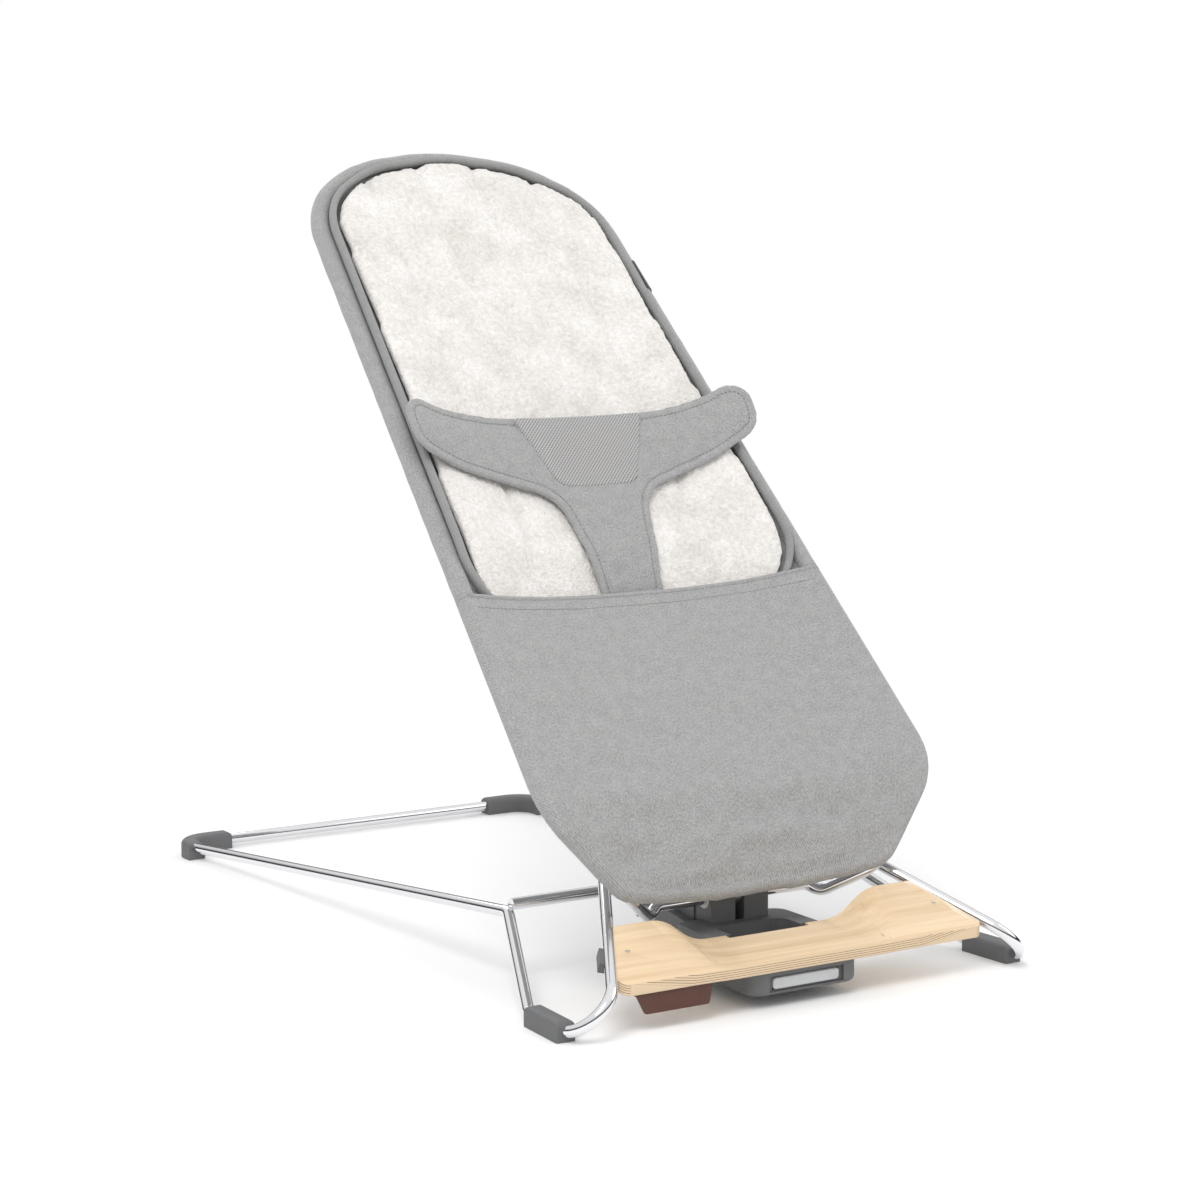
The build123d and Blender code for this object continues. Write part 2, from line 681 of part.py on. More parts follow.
def latch_springs():
    """The two coil springs that push the slide and the button back to the front."""
    start_y = spring_back_y - spring_long
    height = button_bottom + 2.75
    coils = []
    for x in (-spring_x, spring_x):
        with BuildPart() as coil:
            with BuildLine() as path:
                Helix(
                    pitch=(spring_long - spring_wire) / spring_turns,
                    height=spring_long - spring_wire,
                    radius=spring_r,
                    center=at(x, start_y + spring_wire / 2, height),
                    direction=(0, 1, 0),
                )
            with BuildSketch(Plane(origin=path.line @ 0, z_dir=path.line % 0)):
                Circle(spring_wire / 2)
            sweep(is_frenet=True)
        coils.append(coil)
    return group(coils, "latch_springs")


# ------------------------------------------------------------------ seat frame
def lower_side(side):
    """Corner points of the lower frame on one side, from the pivot bar's end up to the joint."""
    corners = [at(side * bar_half_length, pivot_y, pivot_z), at(side * dip_half_width, dip_y, dip_z)]
    corners += [at(side * bow_half_width, bow_y, bow_z), on_seat(side * side_half_width, side_low)]
    return corners + [on_seat(side * side_width(joint_at), joint_at)]


def lower_frame():
    """The lower frame: the pivot bar, a C-shaped bow at each end and the lower halves of the sides."""
    return rod(lower_side(-1)[::-1] + lower_side(1), lower_radii[::-1] + lower_radii)


def upper_frame():
    """The upper frame: the long sides and the round top."""
    side = [on_seat(side_width(joint_at), joint_at), on_seat(shoulder_half_width, shoulder_at)]
    side.append(on_seat(crown_half_width, crown_at))
    top = on_seat(0, top_at)
    other = [Vector(-corner.X, corner.Y, corner.Z) for corner in side]
    return rod(side + [top] + other[::-1], upper_radii)


def ferrule(side):
    """A short sleeve over the joint of the two frames."""
    ends = [on_seat(side * side_width(joint_at + run), joint_at + run)
            for run in (-ferrule_length / 2, ferrule_length / 2)]
    return rod(ends, [], radius=ferrule_r, bore=rod_r)


# ------------------------------------------------------------------ soft parts
# A soft part is a band across the seat. Each station is (run up the seat plane, half its width,
# height of its front face at the edge, height of its front face in the middle, thickness).
def band(stations):
    """A sagging sheet through its stations."""
    with BuildPart() as sheet:
        for along, half_width, edge, middle, thickness in stations:
            across = Plane(origin=on_seat(0, along), x_dir=(1, 0, 0), z_dir=slope)
            with BuildSketch(across):
                with BuildLine():
                    for drop in (0, thickness):
                        ends = [(side * half_width, drop - edge) for side in (-1, 1)]
                        ThreePointArc(ends[0], (0, drop - middle), ends[1])
                    for x in (-half_width, half_width):
                        Line((x, -edge), (x, thickness - edge))
                make_face()
        loft(ruled=True)
    return sheet


def loop_outline(margin, low):
    """The seat frame's outline on the seat plane, moved in by margin and closed at a low run."""
    corners = [(side_width(low) - margin, low), (shoulder_half_width - margin, shoulder_at - margin / 2)]
    corners += [(crown_half_width - margin / 2, crown_at - margin), (0, top_at - margin)]
    other = [(-x, y) for x, y in corners[:-1]]
    FilletPolyline(*corners, *other[::-1], radius=pad_radii)
    Line((-side_width(low) + margin, low), (side_width(low) - margin, low))


def keep_outline(outline):
    """Keep only what lies inside an outline, seen square on to the seat."""
    extrude(outline, amount=300, both=True, mode=Mode.INTERSECT)


def sag(along):
    """How deep the middle of the sling's front face hangs behind the frame."""
    deep = (top_at - along) / (top_at - pocket_at)
    return 2 + 30 * min(deep, 1.0) ** 0.8


def sheet_half_width(run):
    """Half the sling's width: out to the rods above the pocket, clear of the pocket's tunnel below."""
    return side_width(run) - (sheet_inset if run < pocket_at else 0)


def sleeve(points, radii):
    """The fabric tunnel round a stretch of the frame."""
    return rod(points, radii, radius=sleeve_r)


def seat_sling(frame):
    """The fabric back: a tunnel round the frame above the pocket and the sheet between the sides."""
    runs = (690, 640, 560, 420, 277, 210, pocket_at, pocket_at - 4, 90, 0)
    stations = [(run, sheet_half_width(run), -1.0, -sag(run), cloth) for run in runs]
    for run, half_width, edge, middle in hem_stations:
        stations.append((run, half_width - sheet_inset, edge, middle, cloth))
    side = [on_seat(side_width(pocket_at + 2), pocket_at + 2), on_seat(shoulder_half_width, shoulder_at)]
    side.append(on_seat(crown_half_width, crown_at))
    other = [Vector(-corner.X, corner.Y, corner.Z) for corner in side]
    tunnel = sleeve(side + [on_seat(0, top_at)] + other[::-1], upper_radii)
    with BuildSketch(seat_plane) as outline:
        with BuildLine():
            loop_outline(0, -130)
        make_face()
    with BuildPart() as sling:
        add(band(stations).part)
        keep_outline(outline.sketch)
        add(tunnel.part)
        for part in frame:
            add(part.part, mode=Mode.SUBTRACT)
    return finish(sling, "seat_sling")


def front_pocket(frame, sling):
    """The closed fabric bag for the legs, with its tunnel round the lower frame."""
    stations = [(pocket_at, side_width(pocket_at) + 3, 6.5, -10.0, cloth)]
    for run, middle in ((110, -2.0), (40, 3.0), (-10, 6.0)):
        stations.append((run, side_width(run) + 3, 6.5, middle, cloth))
    for (run, half_width, edge, _), middle in zip(hem_stations, (7.0, -7.0, -24.0)):
        stations.append((run, half_width + 2, edge + 7.5, middle, cloth))
    stations.append((hem_at, hem_stations[-1][1] - 12, -38.0, -42.0, cloth))
    with BuildPart() as pocket:
        add(band(stations).part)
        for side in (1, -1):
            bow = side_of(Vector(bow_half_width, bow_y, bow_z), side)
            bend = on_seat(side * side_half_width, side_low)
            end = on_seat(side * side_width(pocket_at), pocket_at)
            add(sleeve([toward(bow, bend, 22), bend, end], [55]).part)
        for part in frame + [sling]:
            add(part.part, mode=Mode.SUBTRACT)
    return finish(pocket, "front_pocket")


def pad_thickness(along):
    """The pad is full above the pocket and pressed flat inside it."""
    share = min(1.0, max(0.0, (along - pocket_at) / (pad_full_at - pocket_at)))
    return pad_tucked + (pad_thick - pad_tucked) * share


def insert_pad():
    """The fleece pad in front of the sling, its narrow lower end tucked into the pocket."""
    stations = []
    for run in (690, 640, 560, 420, 277, 210, pocket_at, pocket_at - 4, pad_low_at):
        thick = pad_thickness(run)
        stations.append((run, sheet_half_width(run), thick, thick + soft_gap - sag(run), thick))
    with BuildSketch(seat_plane) as outline:
        with BuildLine():
            corners = [(side_width(pad_corner_at) - pad_margin - 1, pad_corner_at)]
            corners += [(shoulder_half_width - pad_margin, shoulder_at - pad_margin / 2)]
            corners += [(crown_half_width - pad_margin / 2, crown_at - pad_margin)]
            other = [(-x, y) for x, y in corners]
            low = [(-pad_low_half_width, pad_low_at), (pad_low_half_width, pad_low_at)]
            ring = low[1:] + corners + [(0, top_at - pad_margin)] + other[::-1] + low[:1]
            FilletPolyline(*ring, radius=[pad_corner_radius] + pad_radii + [pad_corner_radius])
            Line(low[0], low[1])
        make_face()
    with BuildPart() as pad:
        add(band(stations).part)
        keep_outline(outline.sketch)
    return finish(pad, "insert_pad")


def harness_stations():
    """Stations of the padded sheet that stands in front of the pad and dips into the pocket."""
    stations = []
    for run, middle in harness_middles:
        stations.append((run, side_width(run), middle + harness_bow, middle, harness_thick))
    return stations


def harness_outline(mesh_only):
    """The harness seen square on: two wings and a stem, or only the mesh panel in its middle."""
    mesh = [(-mesh_top_half_width, wing_top_at), (-mesh_low_half_width, mesh_low_at)]
    mesh += [(mesh_low_half_width, mesh_low_at), (mesh_top_half_width, wing_top_at)]
    low = pocket_at - 40
    right = [(stem_low_half_width, low), (stem_half_width, 225.0), (58.0, crotch_at)]
    right += [(wing_half_width - 20, wing_low_at), (wing_half_width, wing_low_at + 16)]
    right += [(wing_half_width, wing_top_at)]
    left = [(-x, y) for x, y in right]
    with BuildSketch(seat_plane) as outline:
        with BuildLine():
            if mesh_only:
                FilletPolyline(mesh[0], *mesh[1:3], mesh[3], radius=14)
                Line(mesh[3], mesh[0])
            else:
                Polyline(*right, *left[::-1], close=True)
        make_face()
    return outline.sketch


def harness(mesh_hole):
    """The padded T-shaped harness over the pad, with an open middle for the mesh."""
    with BuildPart() as body:
        add(band(harness_stations()).part)
        keep_outline(harness_outline(False))
        extrude(mesh_hole, amount=300, both=True, mode=Mode.SUBTRACT)
    return finish(body, "harness")


def harness_mesh(mesh_panel):
    """The breathable mesh panel in the middle of the harness."""
    with BuildPart() as panel:
        add(band(harness_stations()).part)
        keep_outline(mesh_panel)
    return finish(panel, "harness_mesh")


def side_label():
    """A blank woven label folded over the right edge of the sling."""
    half = label_length / 2
    ends = [on_seat(side_width(run), run) for run in (label_at - half, label_at + half)]
    with BuildPart() as label:
        add(rod(ends, [], radius=sleeve_r + 1.2, bore=sleeve_r + 0.05).part)
        middle = on_seat(side_width(label_at) + sleeve_r, label_at)
        with BuildSketch(Plane(origin=middle, x_dir=(1, 0, 0), z_dir=slope)):
            Rectangle(12, 30)
        extrude(amount=label_length, both=True, mode=Mode.INTERSECT)
    return finish(label, "side_label")


def leather_tag(board):
    """A blank leather tag that hangs under the board's front edge."""
    top_z = board_front_top - board_thick
    corners = [(tag_x - tag_width / 2, 0), (tag_x + tag_width / 2, 0)]
    corners += [(tag_x + tag_width / 2 - 3, -tag_drop), (tag_x - tag_width / 2 + 9, -tag_drop)]
    with BuildPart() as tag:
        with BuildSketch(Plane(origin=at(0, 1.5, top_z), x_dir=(1, 0, 0), z_dir=(0, -1, 0))) as face:
            with BuildLine():
                Polyline(*corners, close=True)
            make_face()
            fillet(face.vertices().group_by(Axis.Y)[0], 3)
        extrude(amount=-tag_thick)
        with BuildSketch(Plane(origin=at(tag_x, 1.5 + 4, top_z - tag_thick))):
            Rectangle(tag_width, 8)
        extrude(amount=tag_thick)
        add(board.part, mode=Mode.SUBTRACT)
    return finish(tag, "leather_tag")


def main():
    """Make every piece; each step takes the finished pieces that it has to fit."""
    rods = base_rods()
    up, down, back = Vector(0, 0, 1), Vector(0, 0, -1), Vector(0, 1, 0)
    middle = arm_point(clip_y)
    clip_x = middle.X - rod_r - clip_screw_in
    clip_screws = screws_at([at(x, clip_y, middle.Z - clip_drop + 2) for x in (-clip_x, clip_x)], up, 10)
    hub_screws = [screw(at(x, y, hub_bottom + wall), up, board_under(y) - hub_bottom - wall + 6)
                  for x in (-hub_screw_x, hub_screw_x) for y in hub_screw_ys]
    tower_mid_y = (tower_front_y + tower_back_y) / 2
    cap_top = bridge_z + rod_r + strap_thick
    cap_screws = screws_at([at(x, tower_back_y - 4.5, cap_top) for x in (-22, 22)], down, 24)
    saddle_top = crossbar_z + rod_r + strap_thick
    saddle_screws = screws_at([at(x, crossbar_y + 9.5, saddle_top) for x in (-28, 28)], down, 20)
    flange_y = tower_front_y - strap_thick
    hinge_screws = screws_at([at(x, flange_y, hinge_screw_z) for x in (-20, 20)], back, 14)
    board = foot_board([rods[n] for n in ("arm_left", "arm_right", "front_leg_left", "front_leg_right")],
                       clip_screws + hub_screws)
    for name, side in (("left", -1), ("right", 1)):
        rear_foot(side, [rods["rear_bar"], rods[f"side_rail_{name}"]], f"rear_foot_{name}")
        front_foot(side, rods[f"front_leg_{name}"], f"front_foot_{name}")
        board_clip(side, board, rods[f"arm_{name}"], clip_screws, f"board_clip_{name}")
        hinge_bush(side, f"hinge_bush_{name}")
    group(clip_screws + hub_screws, "board_screws")
    group(cap_screws + saddle_screws + hinge_screws, "cap_screws")
    housing = hub_housing([rods["arm_bridge"], rods["crossbar"]],
                          hub_screws + cap_screws + saddle_screws + hinge_screws)
    hub_deck(housing)
    hinge_cap(hinge_screws)
    strap(tower_mid_y, bridge_z, tower_depth, tower_half_width, rods["arm_bridge"], cap_screws, "bridge_cap")
    strap(crossbar_y, crossbar_z, 2 * (rod_r + strap_thick) + 8, neck_half_width - 3, rods["crossbar"],
          saddle_screws, "crossbar_cap")
    ratchet_sector()
    latch_slide()
    release_button()
    latch_springs()
    lower = finish(lower_frame(), "seat_frame_lower")
    upper = finish(upper_frame(), "seat_frame_upper")
    ferrules = [finish(ferrule(-1), "frame_ferrule_left"), finish(ferrule(1), "frame_ferrule_right")]
    sling = seat_sling([lower, upper] + ferrules)
    front_pocket([lower], sling)
    insert_pad()
    mesh = harness_outline(True)
    harness(mesh)
    harness_mesh(mesh)
    side_label()
    leather_tag(board)


if __name__ == "__main__":
    main()
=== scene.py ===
"""Looks of a folding baby bouncer seat: fabric, fleece, harness, plywood, chrome and plastic.

Metres. +X is the right-hand side seen from the front, +Y points to the back and +Z up.
A place on the seat is (x across, t up the seat, h out of the seat) and on_plane() puts it in the frame.
A padded piece is first made flat in those and then laid on the seat's curved surface by lay().
"""

import json
import math

import bpy
import numpy as np
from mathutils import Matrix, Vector, noise


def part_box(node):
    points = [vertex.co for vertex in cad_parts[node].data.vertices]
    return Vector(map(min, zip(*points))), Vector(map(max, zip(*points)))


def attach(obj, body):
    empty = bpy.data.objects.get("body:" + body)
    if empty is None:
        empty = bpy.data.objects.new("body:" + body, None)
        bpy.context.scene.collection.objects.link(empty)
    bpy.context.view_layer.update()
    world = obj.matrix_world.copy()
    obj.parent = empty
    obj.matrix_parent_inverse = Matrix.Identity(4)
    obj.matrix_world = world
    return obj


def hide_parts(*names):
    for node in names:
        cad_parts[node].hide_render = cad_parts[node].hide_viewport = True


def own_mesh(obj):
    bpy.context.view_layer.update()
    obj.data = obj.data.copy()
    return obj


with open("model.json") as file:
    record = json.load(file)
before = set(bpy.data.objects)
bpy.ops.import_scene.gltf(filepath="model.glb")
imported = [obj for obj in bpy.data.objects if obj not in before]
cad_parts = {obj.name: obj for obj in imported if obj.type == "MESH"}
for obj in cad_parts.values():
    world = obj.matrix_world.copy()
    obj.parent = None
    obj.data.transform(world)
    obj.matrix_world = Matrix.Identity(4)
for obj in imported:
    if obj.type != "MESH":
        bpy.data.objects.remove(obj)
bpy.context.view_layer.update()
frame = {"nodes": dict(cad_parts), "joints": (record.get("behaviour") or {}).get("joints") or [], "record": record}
nodes = frame["nodes"]

bl_info = {
    "name": "Bouncer seat looks",
    "version": (1, 0, 0),
    "blender": (4, 5, 0),
    "location": "3D View > Sidebar > Bouncer",
    "description": "Builds the fabric, padding, harness, board and finishes of a baby bouncer seat",
    "category": "Object",
}

# ------------------------------------------------------------------ the seat's own coordinates
PIVOT = next(joint["pos_m"] for joint in frame["joints"] if joint["name"] == "recline")
PITCH = math.radians(44.5)
SLOPE = Vector((0, math.cos(PITCH), math.sin(PITCH)))
FRONT = Vector((0, -math.sin(PITCH), math.cos(PITCH)))
SEAT_START = Vector((0, PIVOT[1] + 0.009, PIVOT[2] + 0.1195))
SIDE_LOW = -0.038
SHOULDER = 0.630
TOP = 0.6935
POCKET_TOP = 0.176
SLEEVE = 0.0083
HEM = -0.1035


def on_plane(x, t, h=0.0):
    """A place from its width, its run up the seat plane and its height off that plane."""
    return Vector((x, SEAT_START.y, SEAT_START.z)) + SLOPE * t + FRONT * h


def side_width(t):
    """Half the distance between the frame's straight side rods."""
    return 0.188 + (0.149 - 0.188) * (t - SIDE_LOW) / (SHOULDER - SIDE_LOW)


def rounded(corners, radii, steps=10):
    """Points along straight runs joined by arcs, one radius for each inner corner."""
    points = [corners[0].copy()]
    for before, corner, after, radius in zip(corners, corners[1:], corners[2:], radii):
        back = (before - corner).normalized()
        on = (after - corner).normalized()
        half = back.angle(on) / 2
        run = radius / math.tan(half)
        centre = corner + (back + on).normalized() * (radius / math.sin(half))
        start = corner + back * run - centre
        end = corner + on * run - centre
        turn = start.angle(end)
        for step in range(steps + 1):
            share = step / steps
            a = math.sin((1 - share) * turn) / math.sin(turn)
            b = math.sin(share * turn) / math.sin(turn)
            points.append(centre + start * a + end * b)
    points.append(corners[-1].copy())
    return points


def evenly(points, spacing):
    """The same line with points at even distances."""
    lengths = [0.0]
    for a, b in zip(points, points[1:]):
        lengths.append(lengths[-1] + (b - a).length)
    count = max(2, round(lengths[-1] / spacing))
    out = []
    index = 0
    for step in range(count + 1):
        want = lengths[-1] * step / count
        while index < len(points) - 2 and lengths[index + 1] < want:
            index += 1
        span = lengths[index + 1] - lengths[index]
        share = 0 if span == 0 else (want - lengths[index]) / span
        out.append(points[index].lerp(points[index + 1], share))
    return out


def flat(x, t, h=0.0):
    """A place on the flattened seat."""
    return Vector((x, t, h))


def rim_right():
    """The rods' middle line as (x, t, h), down the right side: crown, side, bow and hem."""
    corners = [flat(0.0, TOP), flat(0.086, 0.678), flat(0.149, SHOULDER), flat(0.188, SIDE_LOW)]
    corners += [flat(0.128, -0.0995, -0.037), flat(0.060, HEM, -0.042), flat(0.0, HEM - 0.0005, -0.042)]
    top = [flat(-0.086, 0.678)] + corners
    path = rounded(top, [0.19, 0.128, 0.088, 0.055, 0.028, 0.5])
    return [p for p in evenly(path, 0.004) if p.x >= 0]


RIM = rim_right()
RIM_RUNS = [p.y for p in reversed(RIM)]
RIM_WIDTHS = [p.x for p in reversed(RIM)]
RIM_HEIGHTS = [p.z for p in reversed(RIM)]


def rim_at(t):
    """Width and height off the plane of the rim at a run up the seat."""
    return float(np.interp(t, RIM_RUNS, RIM_WIDTHS)), float(np.interp(t, RIM_RUNS, RIM_HEIGHTS))


def run_ends(f, inset):
    """Lowest and highest run of the line at share f of the width, inside the rim less its inset."""
    runs = np.linspace(HEM, TOP, 2400)
    insets = np.array([inset(t) for t in runs])
    limits = np.interp(runs, RIM_RUNS, RIM_WIDTHS) - insets
    sides = np.array([side_width(t) for t in runs]) - insets
    inside = runs[limits >= abs(f) * sides - 1e-6]
    return float(inside[0]), float(inside[-1])


def smooth_step(value, low, high):
    """Nought below low, one above high and smooth between them."""
    share = min(1.0, max(0.0, (value - low) / (high - low)))
    return share * share * (3 - 2 * share)


def curve_through(pairs, value):
    """A smooth value from a few (place, value) pairs."""
    if value <= pairs[0][0]:
        return pairs[0][1]
    for (a, va), (b, vb) in zip(pairs, pairs[1:]):
        if value <= b:
            even = (value - a) / (b - a)
            return va + (vb - va) * smooth_step(value, a, b) * 0.5 + (vb - va) * 0.5 * even
    return pairs[-1][1]


# (run up the seat, height of the sling's front face in the middle)
SLING_SAG = [
    (HEM, -0.044),
    (-0.07, -0.026),
    (-0.03, -0.026),
    (0.03, -0.031),
    (0.09, -0.032),
    (0.176, -0.032),
    (0.277, -0.027),
    (0.42, -0.0195),
    (0.56, -0.0115),
    (0.64, -0.0065),
    (TOP, -0.003),
]


def sling_height(x, t):
    """Height of the sling's front face: it hangs between the rods."""
    width, rod = rim_at(t)
    middle = curve_through(SLING_SAG, t)
    edge = rod - 0.001
    share = min(1.0, abs(x) / max(width, 0.02))
    return middle + (edge - middle) * share**2.2


# ------------------------------------------------------------------ mesh helpers
def new_piece(name, verts, faces, runs=None):
    """A new mesh object, with a weave map in metres when the flat places are given."""
    mesh = bpy.data.meshes.new(name)
    mesh.from_pydata([tuple(v) for v in verts], [], faces)
    mesh.update()
    if runs is not None:
        layer = mesh.uv_layers.new(name="weave")
        for loop in mesh.loops:
            place = runs[loop.vertex_index]
            layer.data[loop.index].uv = (place[0], place[1])
    piece = bpy.data.objects.new(name, mesh)
    bpy.context.scene.collection.objects.link(piece)
    return piece


def only(piece):
    """Select one object and make it active."""
    bpy.ops.object.select_all(action="DESELECT")
    piece.select_set(True)
    bpy.context.view_layer.objects.active = piece


def apply_modifier(piece, kind, **settings):
    """Add a modifier, set it and apply it."""
    only(piece)
    modifier = piece.modifiers.new(kind.lower(), kind)
    for key, value in settings.items():
        setattr(modifier, key, value)
    bpy.ops.object.modifier_apply(modifier=modifier.name)


def face_out(piece):
    """Turn all faces outwards."""
    only(piece)
    bpy.ops.object.mode_set(mode="EDIT")
    bpy.ops.mesh.select_all(action="SELECT")
    bpy.ops.mesh.normals_make_consistent(inside=False)
    bpy.ops.object.mode_set(mode="OBJECT")


def shade(piece, material, body="seat", smooth=True):
    """Finish a piece: shading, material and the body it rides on."""
    piece.data.materials.clear()
    piece.data.materials.append(material)
    for polygon in piece.data.polygons:
        polygon.use_smooth = smooth
    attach(piece, body)


def grid_faces(rows, columns, closed=False, start=0):
    """Quads of a grid of rows by columns of points."""
    faces = []
    last = columns if closed else columns - 1
    for row in range(rows - 1):
        for column in range(last):
            a = start + row * columns + column
            b = start + row * columns + (column + 1) % columns
            faces.append((a, b, b + columns, a + columns))
    return faces


def tube(name, path, radius, sides=12, squash=1.0):
    """A tube along points with closed ends; squash stretches or flattens it off the seat."""
    verts = []
    runs = []
    travelled = 0.0
    count = len(path)
    for index, point in enumerate(path):
        before = path[max(index - 1, 0)]
        after = path[min(index + 1, count - 1)]
        along = (after - before).normalized()
        side = along.cross(FRONT).normalized()
        rise = side.cross(along).normalized()
        if index:
            travelled += (point - path[index - 1]).length
        for step in range(sides):
            angle = 2 * math.pi * step / sides
            verts.append(point + side * radius * math.cos(angle) + rise * radius * squash * math.sin(angle))
            runs.append((radius * angle, travelled))
    faces = grid_faces(count, sides, closed=True)
    faces.append(tuple(range(sides - 1, -1, -1)))
    faces.append(tuple((count - 1) * sides + s for s in range(sides)))
    piece = new_piece(name, verts, faces, runs)
    face_out(piece)
    return piece


def join(pieces, name):
    """Join several objects into one."""
    only(pieces[0])
    for piece in pieces[1:]:
        piece.select_set(True)
    bpy.ops.object.join()
    pieces[0].name = name
    pieces[0].data.name = name
    return pieces[0]


def slab(name, outline, thick, voxel):
    """A flat padded shape from its outline: extruded, then rebuilt as an even skin."""
    count = len(outline)
    verts = [flat(p.x, p.y, h) for h in (0.0, thick) for p in outline]
    faces = [tuple(range(count - 1, -1, -1)), tuple(range(count, 2 * count))]
    faces += [(i, (i + 1) % count, count + (i + 1) % count, count + i) for i in range(count)]
    piece = new_piece(name, verts, faces)
    face_out(piece)
    apply_modifier(piece, "REMESH", mode="VOXEL", voxel_size=voxel, use_smooth_shade=True)
    return piece


SIDE_WEAVE = 0.7  # how far the weave map moves on for each metre through a padded piece


def lay(piece, height):
    """Lay a flat shape on the seat: height(x, t) is what it lies on. Its flat places become its weave map."""
    places = [vertex.co.copy() for vertex in piece.data.vertices]
    layer = piece.data.uv_layers.get("weave") or piece.data.uv_layers.new(name="weave")
    for loop in piece.data.loops:
        place = places[loop.vertex_index]
        layer.data[loop.index].uv = (place.x + place.z * SIDE_WEAVE, place.y + place.z * SIDE_WEAVE)
    for vertex, place in zip(piece.data.vertices, places):
        vertex.co = on_plane(place.x, place.y, height(place.x, place.y) + place.z)
    piece.data.update()


def mirrored(points):
    """A right-hand line closed with its mirror image, without the points on the middle line twice."""
    left = [flat(-p.x, p.y, p.z) for p in reversed(points) if abs(p.x) > 1e-6]
    return points + left


# ------------------------------------------------------------------ materials
def start_material(name, color, roughness, metallic=0.0, sheen=0.0):
    """A node material with its tree and its shader."""
    material = bpy.data.materials.new(name)
    material.use_nodes = True
    tree = material.node_tree
    shader = tree.nodes["Principled BSDF"]
    shader.inputs["Base Color"].default_value = (*color, 1)
    shader.inputs["Roughness"].default_value = roughness
    shader.inputs["Metallic"].default_value = metallic
    shader.inputs["Sheen Weight"].default_value = sheen
    shader.inputs["Sheen Roughness"].default_value = 0.5
    return material, tree, shader


def node(tree, kind, links=(), **settings):
    """A node with its settings; links are (socket name or index, value or output)."""
    made = tree.nodes.new(kind)
    for key, value in settings.items():
        setattr(made, key, value)
    for socket, value in links:
        if isinstance(value, bpy.types.NodeSocket):
            tree.links.new(value, made.inputs[socket])
        else:
            made.inputs[socket].default_value = value
    return made


def maths(tree, operation, a, b=0.0):
    return node(tree, "ShaderNodeMath", [(0, a), (1, b)], operation=operation).outputs[0]


def mix_color(tree, share, a, b):
    mixer = node(tree, "ShaderNodeMix", data_type="RGBA")
    for socket, value in zip((0, 6, 7), (share, a, b)):
        if isinstance(value, bpy.types.NodeSocket):
            tree.links.new(value, mixer.inputs[socket])
        else:
            mixer.inputs[socket].default_value = value if socket == 0 else (*value, 1)
    return mixer.outputs[2]


def ramp(tree, value, low, high):
    """Nought below low, one above high."""
    return node(tree, "ShaderNodeMapRange", [(0, value), (1, low), (2, high)]).outputs[0]


def bump(tree, shader, height, strength, distance):
    made = node(tree, "ShaderNodeBump", [("Height", height), ("Strength", strength), ("Distance", distance)])
    tree.links.new(made.outputs[0], shader.inputs["Normal"])


def object_place(tree):
    return node(tree, "ShaderNodeTexCoord").outputs["Object"]


def weave_place(tree):
    return node(tree, "ShaderNodeUVMap", uv_map="weave").outputs[0]


def noise_value(tree, place, scale, detail=2.0, rough=0.5):
    links = [("Vector", place), ("Scale", scale), ("Detail", detail), ("Roughness", rough)]
    return node(tree, "ShaderNodeTexNoise", links).outputs["Fac"]


def voronoi_distance(tree, place, scale):
    links = [("Vector", place), ("Scale", scale)]
    return node(tree, "ShaderNodeTexVoronoi", links, feature="F1").outputs[0]


def melange_cloth(name, light, dark, pitch):
    """A melange twill: light and dark yarns in diagonal ribs."""
    material, tree, shader = start_material(name, light, 0.92, sheen=0.25)
    place = weave_place(tree)
    parts = node(tree, "ShaderNodeSeparateXYZ", [(0, place)])
    across, along = parts.outputs[0], parts.outputs[1]
    turn = 2 * math.pi / pitch
    rib = maths(tree, "SINE", maths(tree, "MULTIPLY", maths(tree, "ADD", across, along), turn * 0.72))
    pick = maths(tree, "SINE", maths(tree, "MULTIPLY", maths(tree, "SUBTRACT", along, across), turn * 1.45))
    yarns = noise_value(tree, place, 0.9 / pitch, 3.0, 0.75)
    patches = noise_value(tree, place, 0.16 / pitch, 2.0)
    ribs = maths(tree, "ADD", maths(tree, "MULTIPLY", rib, 0.3), maths(tree, "MULTIPLY", pick, 0.14))
    tone = maths(tree, "ADD", maths(tree, "MULTIPLY", yarns, 1.7), maths(tree, "MULTIPLY", ribs, 0.42))
    tone = maths(tree, "ADD", tone, maths(tree, "MULTIPLY", patches, 0.35))
    color = mix_color(tree, ramp(tree, tone, 0.62, 1.55), dark, light)
    tree.links.new(color, shader.inputs["Base Color"])
    height = maths(tree, "ADD", ribs, maths(tree, "MULTIPLY", yarns, 0.8))
    bump(tree, shader, height, 0.5, 0.0005)
    return material


def fleece_cloth(color, shadow):
    """Off-white looped fleece."""
    material, tree, shader = start_material("cream_fleece", color, 1.0, sheen=0.5)
    place = object_place(tree)
    loops = voronoi_distance(tree, place, 420.0)
    curls = noise_value(tree, place, 260.0, 4.0, 0.7)
    blotch = noise_value(tree, place, 26.0, 3.0, 0.6)
    deep = maths(tree, "ADD", maths(tree, "MULTIPLY", curls, 0.7), maths(tree, "MULTIPLY", blotch, 0.5))
    # Painted shade: the shadow colour fills the hollows between the curls, where the bump is lowest. The large
    # blotches use the same colour for the fleece's own warmer patches.
    tree.links.new(mix_color(tree, ramp(tree, deep, 0.42, 0.72), shadow, color), shader.inputs["Base Color"])
    height = maths(tree, "ADD", maths(tree, "MULTIPLY", loops, -1.0), maths(tree, "MULTIPLY", curls, 1.6))
    bump(tree, shader, height, 0.55, 0.0016)
    return material


MESH_TURNS = 1900.0  # radians a metre of the pattern of holes


